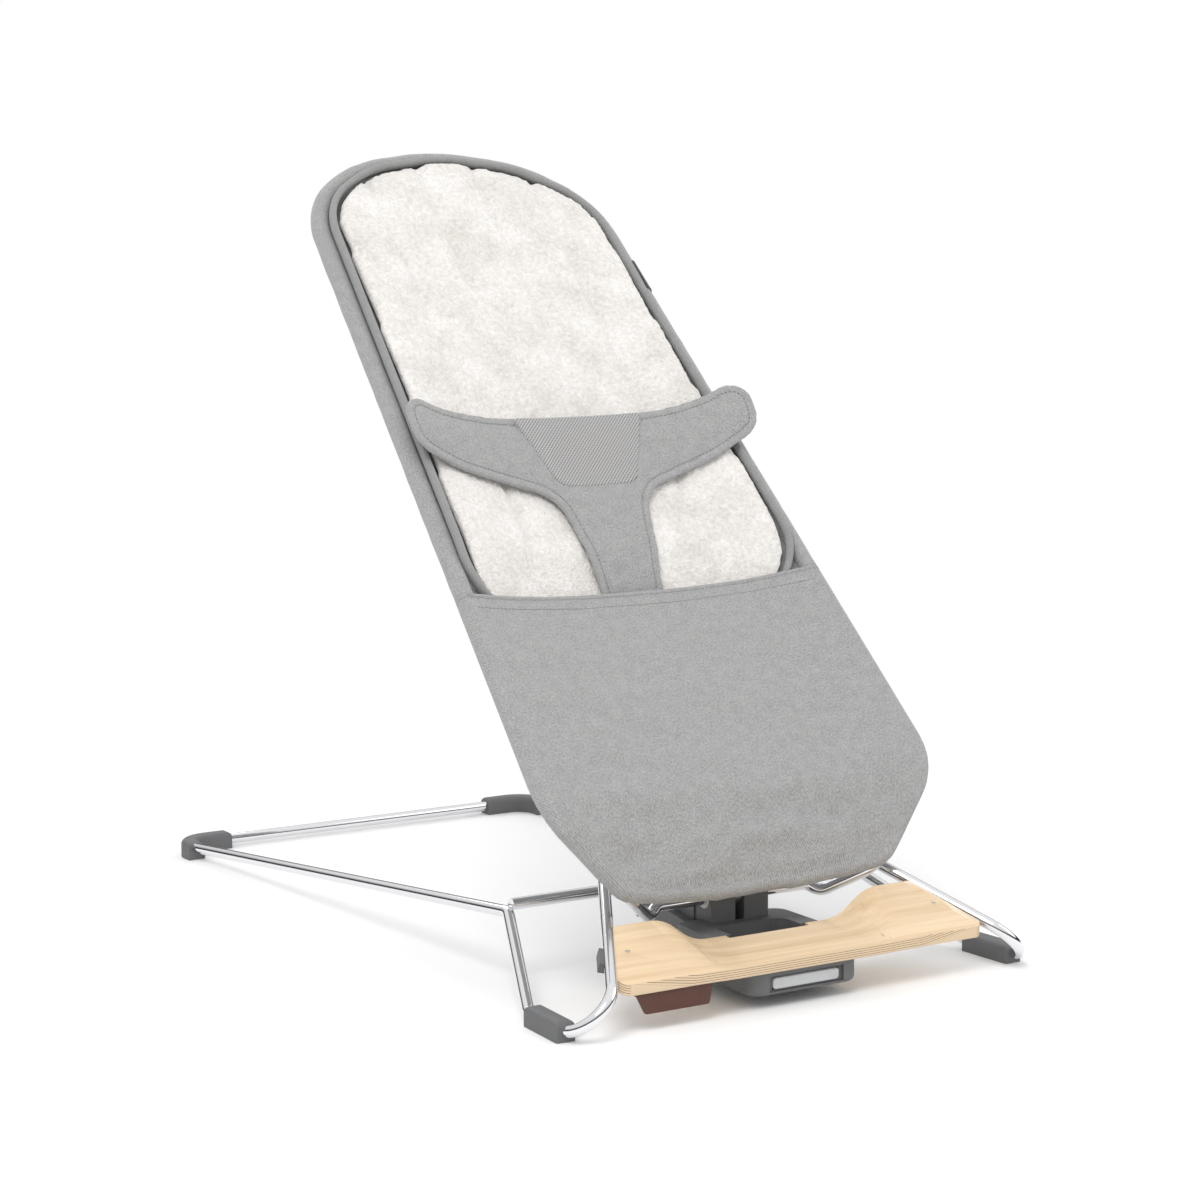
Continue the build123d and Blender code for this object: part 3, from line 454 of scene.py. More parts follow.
def air_mesh_cloth(light, dark):
    """Spacer mesh with small round holes in staggered rows."""
    material, tree, shader = start_material("grey_air_mesh", light, 0.9, sheen=0.2)
    place = weave_place(tree)
    parts = node(tree, "ShaderNodeSeparateXYZ", [(0, place)])
    holes = None
    for shift in (0.0, math.pi):
        waves = []
        for way in (0, 1):
            turned = maths(tree, "ADD", maths(tree, "MULTIPLY", parts.outputs[way], MESH_TURNS), shift)
            waves.append(maths(tree, "MAXIMUM", maths(tree, "COSINE", turned), 0.0))
        dots = maths(tree, "MULTIPLY", waves[0], waves[1])
        holes = dots if holes is None else maths(tree, "MAXIMUM", holes, dots)
    tree.links.new(mix_color(tree, ramp(tree, holes, 0.15, 0.6), light, dark), shader.inputs["Base Color"])
    bump(tree, shader, maths(tree, "MULTIPLY", holes, -1.0), 0.9, 0.0012)
    return material


def plain_plastic(name, color, roughness, grain):
    """Moulded plastic with a fine spark texture and a little handling shine."""
    material, tree, shader = start_material(name, color, roughness)
    place = object_place(tree)
    fine = noise_value(tree, place, 2200.0, 2.0, 0.6)
    wear = noise_value(tree, place, 35.0, 3.0, 0.6)
    rough = node(tree, "ShaderNodeMapRange", [(0, wear), (3, roughness - 0.09), (4, roughness + 0.07)])
    tree.links.new(rough.outputs[0], shader.inputs["Roughness"])
    darker = tuple(channel * 0.86 for channel in color)
    tree.links.new(mix_color(tree, ramp(tree, wear, 0.3, 0.7), darker, color), shader.inputs["Base Color"])
    bump(tree, shader, fine, grain, 0.0002)
    return material


def polished_metal(name, color, roughness, scratch):
    """Bright metal with faint wipe marks."""
    material, tree, shader = start_material(name, color, roughness, metallic=1.0)
    place = object_place(tree)
    marks = noise_value(tree, place, 60.0, 4.0, 0.65)
    rough = node(tree, "ShaderNodeMapRange", [(0, marks), (3, roughness * 0.6), (4, roughness * 1.8 + 0.02)])
    tree.links.new(rough.outputs[0], shader.inputs["Roughness"])
    bump(tree, shader, noise_value(tree, place, 900.0, 2.0), scratch, 0.00005)
    return material


def plywood(face, streak, glue):
    """Pale maple veneer on the faces, and bands of ply with dark glue lines on the edges."""
    material, tree, shader = start_material("maple_plywood", face, 0.42)
    place = object_place(tree)
    grain = node(tree, "ShaderNodeMapping", [("Vector", place), ("Scale", (2.2, 60.0, 60.0))]).outputs[0]
    rays = noise_value(tree, grain, 1.6, 5.0, 0.62)
    stretched = [("Vector", place), ("Scale", (9.0, 620.0, 620.0))]
    long_grain = node(tree, "ShaderNodeMapping", stretched).outputs[0]
    pores = noise_value(tree, long_grain, 1.4, 3.0, 0.6)
    veneer = mix_color(tree, ramp(tree, rays, 0.36, 0.68), face, streak)
    dark_pore = tuple(channel * 0.8 for channel in streak)
    veneer = mix_color(tree, maths(tree, "MULTIPLY", ramp(tree, pores, 0.56, 0.8), 0.5), veneer, dark_pore)
    depth = node(tree, "ShaderNodeAttribute", attribute_name="depth").outputs["Fac"]
    edge = node(tree, "ShaderNodeAttribute", attribute_name="edge").outputs["Fac"]
    band = maths(tree, "FRACT", maths(tree, "MULTIPLY", depth, 5.0))
    line = maths(tree, "GREATER_THAN", band, 0.78)
    inside = maths(tree, "MULTIPLY", line, maths(tree, "LESS_THAN", depth, 0.97))
    cut = mix_color(tree, inside, tuple(channel * 0.86 for channel in face), glue)
    tree.links.new(mix_color(tree, edge, veneer, cut), shader.inputs["Base Color"])
    shader.inputs["Coat Weight"].default_value = 0.15
    bump(tree, shader, pores, 0.12, 0.0002)
    return material


def tanned_leather(color):
    """Brown leather with fine pores."""
    material, tree, shader = start_material("brown_leather", color, 0.6)
    place = object_place(tree)
    cells = voronoi_distance(tree, place, 1100.0)
    tone = noise_value(tree, place, 90.0, 4.0, 0.6)
    darker = tuple(channel * 0.6 for channel in color)
    tree.links.new(mix_color(tree, tone, darker, color), shader.inputs["Base Color"])
    bump(tree, shader, cells, 0.5, 0.0004)
    return material


def studio_floor(color):
    """A matt floor that fades into the white surround away from the object."""
    material, tree, shader = start_material("studio_floor", color, 0.75)
    place = object_place(tree)
    away = node(tree, "ShaderNodeVectorMath", [(0, place)], operation="LENGTH").outputs["Value"]
    glow = node(tree, "ShaderNodeEmission", [("Color", (1, 1, 1, 1)), ("Strength", 1.0)])
    share = ramp(tree, maths(tree, "MULTIPLY", away, 0.25), 0.16, 0.34)
    both = tree.nodes.new("ShaderNodeMixShader")
    tree.links.new(share, both.inputs[0])
    tree.links.new(shader.outputs[0], both.inputs[1])
    tree.links.new(glow.outputs[0], both.inputs[2])
    output = next(n for n in tree.nodes if n.type == "OUTPUT_MATERIAL")
    tree.links.new(both.outputs[0], output.inputs["Surface"])
    return material


# ------------------------------------------------------------------ soft pieces
# (run up the seat, height of the front face in the middle)
POCKET_FACE = [(HEM, -0.0337), (-0.098, -0.024), (-0.07, -0.009), (-0.038, 0.006), (0.06, 0.004)]
POCKET_FACE += [(0.176, -0.010)]
HARNESS_FACE = [(0.09, -0.0235), (0.172, -0.0190), (0.224, -0.002), (0.277, 0.005), (0.354, 0.019)]
HARNESS_FACE += [(0.42, 0.030)]
SHEET_CROWDING = 0.96  # how much closer the columns of a sheet stand near its edges
POCKET_RINGS = 9  # steps of the pocket's wrap round the rods
PUFF_PRESSURE = 4.0
PUFF_CAP = 0.006  # how far a point of the pad may move while it swells
PUFF_FRAMES = 20
CHANNELS = (-0.088, -0.030, 0.030, 0.088)  # places of the pad's sewn channels
CHANNEL_DEPTH = 0.0038
CHANNEL_WIDTH = 0.0046
STITCH_IN = 0.0075  # the harness's top-stitching, from its edge


def sheet_on_rim(columns, rows, inset, high, height):
    """A sheet that fills the rim up to a run; height(x, t) gives its face."""
    widest = math.sin(math.pi * SHEET_CROWDING / 2)
    verts = []
    runs = []
    ends = {}
    for row in range(rows):
        v = row / (rows - 1)
        for column in range(columns):
            f = math.sin((column / (columns - 1) - 0.5) * math.pi * SHEET_CROWDING) / widest
            if column not in ends:
                ends[column] = run_ends(f, inset)
            first, last = ends[column]
            last = min(last, high)
            t = first + (last - first) * v
            x = f * (side_width(t) - inset(t))
            verts.append(on_plane(x, t, height(x, t)))
            runs.append((x, t))
    return verts, runs


def folds(x, t, low, high, size):
    """Soft wrinkles that fade out between two runs."""
    fade = 1 - smooth_step(t, low, high)
    rise = noise.noise(Vector((x * 26, t * 60, 1.3))) + 0.5 * noise.noise(Vector((x * 60, t * 120, 4.1)))
    return rise * size * fade


def build_sling(settings):
    """The fabric back: a sheet between the rods and the tunnel round them."""
    columns, rows = 57, 100

    def inset(t):
        return 0.0095 - 0.0065 * smooth_step(t, POCKET_TOP, POCKET_TOP + 0.004)

    verts, runs = sheet_on_rim(columns, rows, inset, TOP, sling_height)
    sheet = new_piece("sling_sheet", verts, grid_faces(rows, columns), runs)
    apply_modifier(sheet, "SOLIDIFY", thickness=settings.cloth, offset=1.0)
    right = [p for p in RIM if p.y >= POCKET_TOP - 0.006]
    line = [flat(-p.x, p.y, p.z) for p in reversed(right)] + right[1:]
    path = [on_plane(p.x, p.y, p.z) for p in evenly(line, 0.006)]
    tunnel = tube("sling_tunnel", path, settings.tunnel, 20)
    for vertex in tunnel.data.vertices:
        place = vertex.co * 55
        vertex.co += (vertex.normal * noise.noise(place)) * 0.0004
    sling = join([sheet, tunnel], "sling_fabric")
    shade(sling, CLOTHS["melange"])
    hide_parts("seat_sling")


def pocket_height(x, t):
    """Height of the pocket's face: slack in the middle, tight over the rods."""
    width, rod = rim_at(t)
    middle = curve_through(POCKET_FACE, t)
    share = min(1.0, abs(x) / max(width, 0.02))
    face = middle + (rod + SLEEVE - middle) * share**2.4
    inner = 1 - smooth_step(share, 0.82, 1.0)
    pulls = folds(x, t, -0.075, 0.02, 0.0052) + folds(x * 0.7, t * 0.6, 0.05, 0.17, 0.0026)
    return face + pulls * inner


def build_pocket(settings):
    """The closed bag for the legs: its face, its wrap round the rods and the rolled top edge."""
    columns, rows = 73, 72
    verts, runs = sheet_on_rim(columns, rows, lambda t: 0.0, POCKET_TOP, pocket_height)
    faces = grid_faces(rows, columns)
    edge = [row * columns for row in range(rows - 1, -1, -1)]
    edge += list(range(1, columns))
    edge += [row * columns + columns - 1 for row in range(1, rows)]
    steps = POCKET_RINGS
    rings = [edge]
    for step in range(1, steps + 2):
        ring = []
        for index, corner in enumerate(edge):
            before = verts[edge[max(0, index - 1)]]
            after = verts[edge[min(len(edge) - 1, index + 1)]]
            outward = (after - before).cross(FRONT).normalized()
            rod = verts[corner] - FRONT * SLEEVE
            if step > steps:
                place = rod - outward * 0.0095 - FRONT * 0.005
            else:
                angle = math.pi * step / steps
                place = rod + (FRONT * math.cos(angle) + outward * math.sin(angle)) * SLEEVE
            ring.append(len(verts))
            verts.append(place)
            x, t = runs[corner]
            turn = step * math.pi * SLEEVE / steps
            runs.append((x + math.copysign(turn, x), t - turn * (abs(x) < 0.12)))
        rings.append(ring)
    for inner, outer in zip(rings, rings[1:]):
        for index in range(len(edge) - 1):
            faces.append((inner[index], outer[index], outer[index + 1], inner[index + 1]))
    pocket = new_piece("front_pocket_fabric", verts, faces, runs)
    face_out(pocket)
    apply_modifier(pocket, "SOLIDIFY", thickness=settings.cloth, offset=-1.0)
    top = []
    for x in np.linspace(-side_width(POCKET_TOP), side_width(POCKET_TOP), 60):
        top.append(on_plane(x, POCKET_TOP - 0.001, pocket_height(x, POCKET_TOP) - 0.001))
    hem = tube("pocket_hem", top, 0.0024, 10)
    pocket = join([pocket, hem], "front_pocket_fabric")
    shade(pocket, CLOTHS["melange"])
    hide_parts("front_pocket")


def pad_outline():
    """Half of the pad seen square on, from its top to the middle of its lower end."""
    corners = [flat(-0.08, 0.6685), flat(0.0, 0.6842), flat(0.0815, 0.6690), flat(0.1412, 0.6252)]
    corners += [flat(side_width(0.198) - 0.0080, 0.198), flat(0.092, 0.100), flat(0.0, 0.0995)]
    path = rounded(corners, [0.17, 0.118, 0.082, 0.062, 0.02], 14)
    return [p for p in evenly(path, 0.005) if p.x > 0.0005]


def pad_base(x, t):
    """What the pad lies on: the sling in the middle, the shoulder of the tunnel at its edges."""
    sling = sling_height(x, t) + 0.0032
    width, rod = rim_at(t)
    middle = curve_through(SLING_SAG, t) + 0.0012
    share = min(1.0, abs(x) / max(width - 0.007, 0.02))
    edge = (rod + 0.0052) if t > POCKET_TOP else middle + 0.012
    top_lift = 0.008 * smooth_step(t, 0.655, 0.69)
    return max(sling, middle + (edge - middle) * share**3 + top_lift)


def pad_share(t):
    """The pad is full above the pocket and pressed flat inside it."""
    return 0.34 + 0.66 * smooth_step(t, POCKET_TOP, POCKET_TOP + 0.06)


def puff(piece):
    """Swell a flat pad with cloth under pressure; no point moves further than the cap."""
    start = [vertex.co.copy() for vertex in piece.data.vertices]
    only(piece)
    cloth = piece.modifiers.new("cloth", "CLOTH")
    cloth.settings.use_pressure = True
    cloth.settings.uniform_pressure_force = PUFF_PRESSURE
    cloth.settings.effector_weights.gravity = 0
    cloth.settings.quality = 4
    cloth.collision_settings.use_collision = False
    cloth.collision_settings.use_self_collision = False
    for step in range(1, PUFF_FRAMES + 1):
        bpy.context.scene.frame_set(step)
    bpy.ops.object.modifier_apply(modifier=cloth.name)
    bpy.context.scene.frame_set(1)
    for vertex, before in zip(piece.data.vertices, start):
        moved = vertex.co - before
        if moved.length > PUFF_CAP:
            vertex.co = before + moved.normalized() * PUFF_CAP


def build_pad(settings):
    """The fleece pad: swollen, with shallow sewn channels, pressed flat inside the pocket."""
    pad = slab("fleece_pad", mirrored(pad_outline()), settings.pad_thick * 0.62, 0.005)
    puff(pad)
    apply_modifier(pad, "SUBSURF", levels=1, render_levels=1)
    low = min(vertex.co.z for vertex in pad.data.vertices)
    for vertex in pad.data.vertices:
        x, t, h = vertex.co
        h = (h - low) * 0.92
        front = smooth_step(h, 0.003, 0.007)
        for channel in CHANNELS:
            dent = CHANNEL_DEPTH * math.exp(-(((x - channel) / CHANNEL_WIDTH) ** 2))
            h -= front * dent * smooth_step(t, 0.2, 0.24)
        tuft = noise.noise(Vector((x, t, h)) * 330) + 0.7 * noise.noise(Vector((x, t, h)) * 150)
        h += tuft * settings.pile * front
        vertex.co = (x, t, h * pad_share(t))
    lay(pad, pad_base)
    shade(pad, CLOTHS["fleece"])
    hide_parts("insert_pad")


def opened(line):
    """A ring of points started where its widest gap is."""
    split = max(range(len(line)), key=lambda i: (line[i] - line[i - 1]).length)
    return line[split:] + line[:split]


def build_binding(settings):
    """The grey bias tape round the pad's edge."""
    line = mirrored(pad_outline())
    path = []
    for p in line:
        if p.y > 0.16:
            high = settings.pad_thick * 0.45 * pad_share(p.y)
            path.append(on_plane(p.x, p.y, pad_base(p.x, p.y) + high))
    binding = tube("pad_binding", opened(path), settings.binding, 12, squash=1.45)
    shade(binding, CLOTHS["tape"])


def harness_outline():
    """Half of the harness seen square on: wing, crotch and stem."""
    corners = [flat(-0.02, 0.3545), flat(0.10, 0.352), flat(0.178, 0.372), flat(0.176, 0.318)]
    corners += [flat(0.128, 0.300), flat(0.046, 0.276), flat(0.0335, 0.205), flat(0.027, 0.135)]
    corners.append(flat(0.0, 0.1345))
    path = rounded(corners, [0.30, 0.020, 0.022, 0.09, 0.034, 0.12, 0.006], 12)
    return [p for p in evenly(path, 0.003) if p.x > 0.0004]


def harness_height(x, t):
    """The padded front stands off the pad, its wing tips further."""
    tip = 0.006 * smooth_step(abs(x), 0.13, 0.18)
    return curve_through(HARNESS_FACE, t) - 0.005 + 0.018 * (x / 0.18) ** 2 + tip


def build_harness(settings):
    """The padded T-shaped harness, with soft edges and a groove inside its top-stitching."""
    harness = slab("harness_fabric", mirrored(harness_outline()), settings.harness_thick, 0.0022)
    edge = mirrored(harness_outline())
    for _ in range(2):
        apply_modifier(harness, "SMOOTH", factor=0.5, iterations=3)
    line = np.array([(p.x, p.y) for p in edge])
    for vertex in harness.data.vertices:
        x, t, h = vertex.co
        away = float(np.sqrt(((line - (x, t)) ** 2).sum(axis=1)).min())
        groove = math.exp(-(((away - STITCH_IN) / 0.0016) ** 2))
        puffed = 0.0016 * smooth_step(away, STITCH_IN, STITCH_IN + 0.02)
        if h > settings.harness_thick * 0.5:
            h += puffed - groove * 0.0010
        vertex.co = (x, t, h)
    lay(harness, harness_height)
    shade(harness, CLOTHS["melange"])
    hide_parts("harness")


def panel_outline():
    """Half of the mesh panel seen square on."""
    corners = [flat(0.0, 0.3520), flat(0.0665, 0.3505), flat(0.040, 0.283), flat(0.0, 0.2815)]
    path = rounded(corners, [0.003, 0.016], 8)
    return [p for p in evenly(path, 0.003) if p.x > 0.0004]


def build_panel(settings):
    """The mesh panel on the harness."""
    panel = slab("harness_mesh_panel", mirrored(panel_outline()), settings.harness_thick + 0.0022, 0.0024)
    apply_modifier(panel, "SMOOTH", factor=0.5, iterations=3)
    lay(panel, lambda x, t: harness_height(x, t) + 0.0004)
    shade(panel, CLOTHS["mesh"])
    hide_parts("harness_mesh")


def seam_line(outline, inward):
    """A closed flat line moved inwards from an outline."""
    line = mirrored(outline)
    count = len(line)
    moved = []
    for index, p in enumerate(line):
        along = line[(index + 2) % count] - line[index - 2]
        side = Vector((along.y, -along.x, 0)).normalized()
        moved.append(p + side * inward)
    return moved


def stitch_row(name, line, height, length=0.0026, gap=0.0013, radius=0.00033):
    """A row of thread stitches along a flat line laid at a height."""
    verts = []
    faces = []
    runs = []
    points = evenly(line, length + gap)
    for a, b in zip(points, points[1:]):
        on = (b - a).normalized() * length
        start = on_plane(a.x, a.y, height(a.x, a.y))
        c = a + on
        end = on_plane(c.x, c.y, height(c.x, c.y))
        way = (end - start).normalized()
        side = way.cross(FRONT).normalized()
        base = len(verts)
        for share, thick in ((0.0, 0.35), (0.3, 1.0), (0.7, 1.0), (1.0, 0.35)):
            middle = start.lerp(end, share)
            for step in range(6):
                angle = math.pi * step / 3
                ring = side * math.cos(angle) + FRONT * math.sin(angle)
                verts.append(middle + ring * radius * thick)
                runs.append((share * length, angle * radius))
        faces += grid_faces(4, 6, closed=True, start=base)
        faces.append(tuple(base + s for s in range(5, -1, -1)))
        faces.append(tuple(base + 18 + s for s in range(6)))
    return new_piece(name, verts, faces, runs)


def build_stitching(settings):
    """Top-stitching on the harness, round its panel and along the pocket's edge."""
    thick = settings.harness_thick

    def on_harness(x, t):
        return harness_height(x, t) + thick - 0.0002

    def on_pocket(x, t):
        return pocket_height(x, t) + 0.0002

    rows = []
    edge = seam_line(harness_outline(), STITCH_IN)
    edge = [p for p in edge if p.y > POCKET_TOP + 0.004]
    rows.append(stitch_row("harness_stitch", opened(edge), on_harness))
    edge = [p for p in seam_line(panel_outline(), -0.0025) if p.y < 0.3475]
    rows.append(stitch_row("panel_stitch", opened(edge), on_harness))
    width = side_width(POCKET_TOP) - 0.004
    hem = [flat(x, POCKET_TOP - 0.013) for x in np.linspace(-width, width, 80)]
    rows.append(stitch_row("pocket_stitch", hem, on_pocket))
    stitching = join(rows, "stitching")
    shade(stitching, CLOTHS["thread"])


# ------------------------------------------------------------------ board and CAD finishes
BOARD_THICK = 0.009
SLOPE_STEP = 0.004  # how far each way the board's slope is felt
BOARD_PULL = (0.994, 0.94)  # a point near the board's edge is pulled this far in before it is measured
SIDE_FACE = 0.55  # a face whose normal rises less than this shows the plies
CLOTHS = {}
FINISHES = {}


def copied_node(name, new_name):
    """A piece of its own with a CAD node's mesh."""
    piece = nodes[name].copy()
    piece.data = nodes[name].data.copy()
    piece.name = new_name
    piece.data.name = new_name
    for key in list(piece.keys()):
        del piece[key]
    piece.parent = None
    bpy.context.scene.collection.objects.link(piece)
    return piece


def build_springs():
    """The button's return springs: a copy of the CAD node with a mesh of its own, riding on the base."""
    springs = copied_node("latch_springs", "return_springs")
    shade(springs, FINISHES["spring_steel"], body="base")
    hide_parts("latch_springs")
    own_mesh(springs)


def board_slope(source, x, middle_y):
    """How steeply the board's top face climbs to the back at a place across it."""
    heights = []
    for y in (middle_y - SLOPE_STEP, middle_y + SLOPE_STEP):
        hit, place, _, _ = source.ray_cast(Vector((x, y, 0.2)), Vector((0, 0, -1)))
        heights.append(place.z if hit else 0.0)
    return (heights[1] - heights[0]) / (2 * SLOPE_STEP)


def build_board(settings):
    """The plywood board with softened edges; its points know how deep in the ply they lie."""
    source = nodes["foot_board"]
    board = copied_node("foot_board", "plywood_board")
    only(board)
    bpy.ops.object.mode_set(mode="EDIT")
    bpy.ops.mesh.select_all(action="SELECT")
    bpy.ops.mesh.remove_doubles(threshold=0.00001)
    bpy.ops.mesh.dissolve_limited(angle_limit=math.radians(1.2))
    bpy.ops.object.mode_set(mode="OBJECT")
    apply_modifier(board, "BEVEL", width=settings.board_edge, segments=2, angle_limit=math.radians(50))
    apply_modifier(board, "TRIANGULATE")
    mesh = board.data
    depth = mesh.attributes.new("depth", "FLOAT", "CORNER")
    edge = mesh.attributes.new("edge", "FLOAT", "CORNER")
    middle_y = sum(corner[1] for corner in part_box("foot_board")) / 2
    shares = []
    for vertex in mesh.vertices:
        inside_x = vertex.co.x * BOARD_PULL[0]
        inside_y = middle_y + (vertex.co.y - middle_y) * BOARD_PULL[1]
        hit, place, _, _ = source.ray_cast(Vector((inside_x, inside_y, 0.2)), Vector((0, 0, -1)))
        slant = (vertex.co.y - inside_y) * board_slope(source, inside_x, middle_y)
        shares.append((place.z + slant - vertex.co.z) / BOARD_THICK if hit else 0.5)
    for polygon in mesh.polygons:
        upright = abs(polygon.normal.z) < SIDE_FACE
        for index in polygon.loop_indices:
            share = shares[mesh.loops[index].vertex_index]
            if polygon.normal.z < -0.3:
                share = 1.0
            depth.data[index].value = min(1.0, max(0.0, share))
            edge.data[index].value = 1.0 if upright else 0.0
    shade(board, CLOTHS["plywood"], body="base", smooth=False)
    only(board)
    bpy.ops.object.shade_smooth_by_angle(angle=math.radians(30))
    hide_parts("foot_board")


def dress_nodes():
    """Give every CAD node the finish of its material slot."""
    slots = {entry["node"]: entry["material_slot"] for entry in frame["record"]["subparts"]}
    for name, thing in nodes.items():
        thing.data.materials.clear()
        thing.data.materials.append(FINISHES[slots[name]])
        only(thing)
        bpy.ops.object.shade_smooth_by_angle(angle=math.radians(32))


# (red, green, blue), roughness, then the grain of a plastic or the scratches of a metal
PLASTICS = {
    "grey_rubberised_plastic": ((0.135, 0.137, 0.140), 0.62, 0.35),
    "grey_moulded_plastic": ((0.125, 0.127, 0.130), 0.5, 0.3),
    "light_grey_plastic": ((0.52, 0.53, 0.54), 0.4, 0.2),
    "nylon": ((0.62, 0.60, 0.55), 0.5, 0.2),
}
METALS = {
    "chromed_rod": ((0.80, 0.80, 0.82), 0.07, 0.03),
    "zinc_steel": ((0.60, 0.61, 0.63), 0.3, 0.2),
    "spring_steel": ((0.42, 0.42, 0.44), 0.32, 0.2),
    "hardened_steel": ((0.36, 0.36, 0.38), 0.38, 0.3),
    "brushed_ferrule": ((0.60, 0.60, 0.62), 0.3, 0.4),
}


def make_materials(fabric, padding):
    """Fill CLOTHS and FINISHES; every material slot of the record has its finish."""
    light = tuple(fabric.cloth_light)
    dark = tuple(fabric.cloth_dark)
    CLOTHS["melange"] = melange_cloth("grey_melange_fabric", light, dark, 0.0017)
    CLOTHS["tape"] = melange_cloth("grey_binding_tape", tuple(c * 0.78 for c in light), dark, 0.0014)
    CLOTHS["thread"] = melange_cloth("grey_thread", tuple(c * 0.7 for c in light), dark, 0.0006)
    CLOTHS["mesh"] = air_mesh_cloth(tuple(c * 0.95 for c in light), tuple(c * 0.45 for c in dark))
    CLOTHS["fleece"] = fleece_cloth(tuple(padding.fleece), tuple(padding.fleece_shadow))
    CLOTHS["plywood"] = plywood((0.80, 0.62, 0.41), (0.66, 0.47, 0.28), (0.20, 0.10, 0.045))
    for name, look in PLASTICS.items():
        FINISHES[name] = plain_plastic(name, *look)
    for name, look in METALS.items():
        FINISHES[name] = polished_metal(name, *look)
    black = ((0.03, 0.03, 0.032), (0.012, 0.012, 0.012))
    FINISHES["black_woven_label"] = melange_cloth("black_woven_label", *black, 0.0008)
    FINISHES["brown_leather"] = tanned_leather((0.115, 0.042, 0.028))
    FINISHES["maple_plywood"] = CLOTHS["plywood"]
    FINISHES["grey_melange_fabric"] = CLOTHS["melange"]
    FINISHES["grey_air_mesh"] = CLOTHS["mesh"]
    FINISHES["cream_fleece"] = CLOTHS["fleece"]


# ------------------------------------------------------------------ stage
LIT = Vector((0, 0, 0.3))  # what every light points at
CAMERA_SIDE = -1.3699
CAMERA_AHEAD = 1.8573  # in front of the board's front edge
CAMERA_HEIGHT = 0.6441
CAMERA_DIP = 7.86  # degrees below the horizon
CAMERA_TURN = 32.24  # degrees to the right of straight back
# (share of the way from straight down to straight up, grey) of what the chrome reflects
SCREENS = ((0.0, 0.75), (0.44, 0.30), (0.50, 0.035), (0.60, 0.06), (0.70, 0.85), (1.0, 1.0))


def area_light(name, place, size, power):
    """A round white light that shines on the seat."""
    data = bpy.data.lights.new(name, "AREA")
    data.shape = "DISK"
    data.size = size
    data.energy = power
    light = bpy.data.objects.new(name, data)
    light.location = place
    light.rotation_euler = (LIT - Vector(place)).to_track_quat("-Z", "Y").to_euler()
    bpy.context.scene.collection.objects.link(light)


def studio_surround(world, ambient):
    """White to the camera, soft light on matt surfaces, and dark screens low down in reflections."""
    world.use_nodes = True
    tree = world.node_tree
    back = tree.nodes["Background"]
    place = tree.nodes.new("ShaderNodeTexCoord")
    parts = tree.nodes.new("ShaderNodeSeparateXYZ")
    tree.links.new(place.outputs["Generated"], parts.inputs["Vector"])
    screens = tree.nodes.new("ShaderNodeValToRGB")
    while len(screens.color_ramp.elements) < len(SCREENS):
        screens.color_ramp.elements.new(0.5)
    for element, (position, grey) in zip(screens.color_ramp.elements, SCREENS):
        element.position = position
        element.color = (grey, grey, grey, 1)
    rise = tree.nodes.new("ShaderNodeMapRange")
    rise.inputs["From Min"].default_value = -1
    tree.links.new(parts.outputs["Z"], rise.inputs["Value"])
    tree.links.new(rise.outputs["Result"], screens.inputs["Fac"])
    rays = tree.nodes.new("ShaderNodeLightPath")
    glossy = tree.nodes.new("ShaderNodeMixRGB")
    glossy.inputs["Color1"].default_value = (ambient, ambient, ambient, 1)
    tree.links.new(rays.outputs["Is Glossy Ray"], glossy.inputs["Fac"])
    tree.links.new(screens.outputs["Color"], glossy.inputs["Color2"])
    seen = tree.nodes.new("ShaderNodeMixRGB")
    seen.inputs["Color2"].default_value = (1, 1, 1, 1)
    tree.links.new(rays.outputs["Is Camera Ray"], seen.inputs["Fac"])
    tree.links.new(glossy.outputs["Color"], seen.inputs["Color1"])
    tree.links.new(seen.outputs["Color"], back.inputs["Color"])


def build_stage(settings):
    """A pale floor, soft studio light and the camera."""
    bpy.ops.object.select_all(action="DESELECT")
    bpy.ops.mesh.primitive_plane_add(size=30, location=(0, 0, 0))
    floor = bpy.context.active_object
    floor.name = "studio_floor"
    floor.data.materials.append(studio_floor((0.93, 0.93, 0.93)))
    world = bpy.data.worlds.new("studio")
    studio_surround(world, settings.ambient)
    bpy.context.scene.world = world
    area_light("key", (-1.6, -1.5, 2.6), 1.6, settings.key)
    area_light("fill", (2.2, -1.2, 1.6), 2.2, settings.key * 0.28)
    area_light("back_light", (0.4, 2.4, 2.2), 1.6, settings.key * 0.4)
    bpy.context.scene.view_settings.view_transform = "Standard"
    data = bpy.data.cameras.new("camera")
    data.sensor_width = 36
    data.lens = settings.lens
    camera = bpy.data.objects.new("camera", data)
    board_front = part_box("foot_board")[0][1]
    camera.location = (CAMERA_SIDE, board_front - CAMERA_AHEAD, CAMERA_HEIGHT)
    camera.rotation_euler = (math.radians(90 - CAMERA_DIP), 0, math.radians(-CAMERA_TURN))
    bpy.context.scene.collection.objects.link(camera)
    bpy.context.scene.camera = camera


# ------------------------------------------------------------------ settings, operators and panel
def length_property(name, text, default):
    """A size in metres."""
    kind = {"subtype": "DISTANCE", "unit": "LENGTH"}
    return bpy.props.FloatProperty(name=name, description=text, default=default, **kind)


def color_property(name, text, default):
    """A colour as red, green and blue."""
    kind = {"subtype": "COLOR", "min": 0, "max": 1}
    return bpy.props.FloatVectorProperty(name=name, description=text, default=default, **kind)


def number_property(name, text, default, subtype="NONE"):
    """A plain number."""
    return bpy.props.FloatProperty(name=name, description=text, default=default, subtype=subtype)


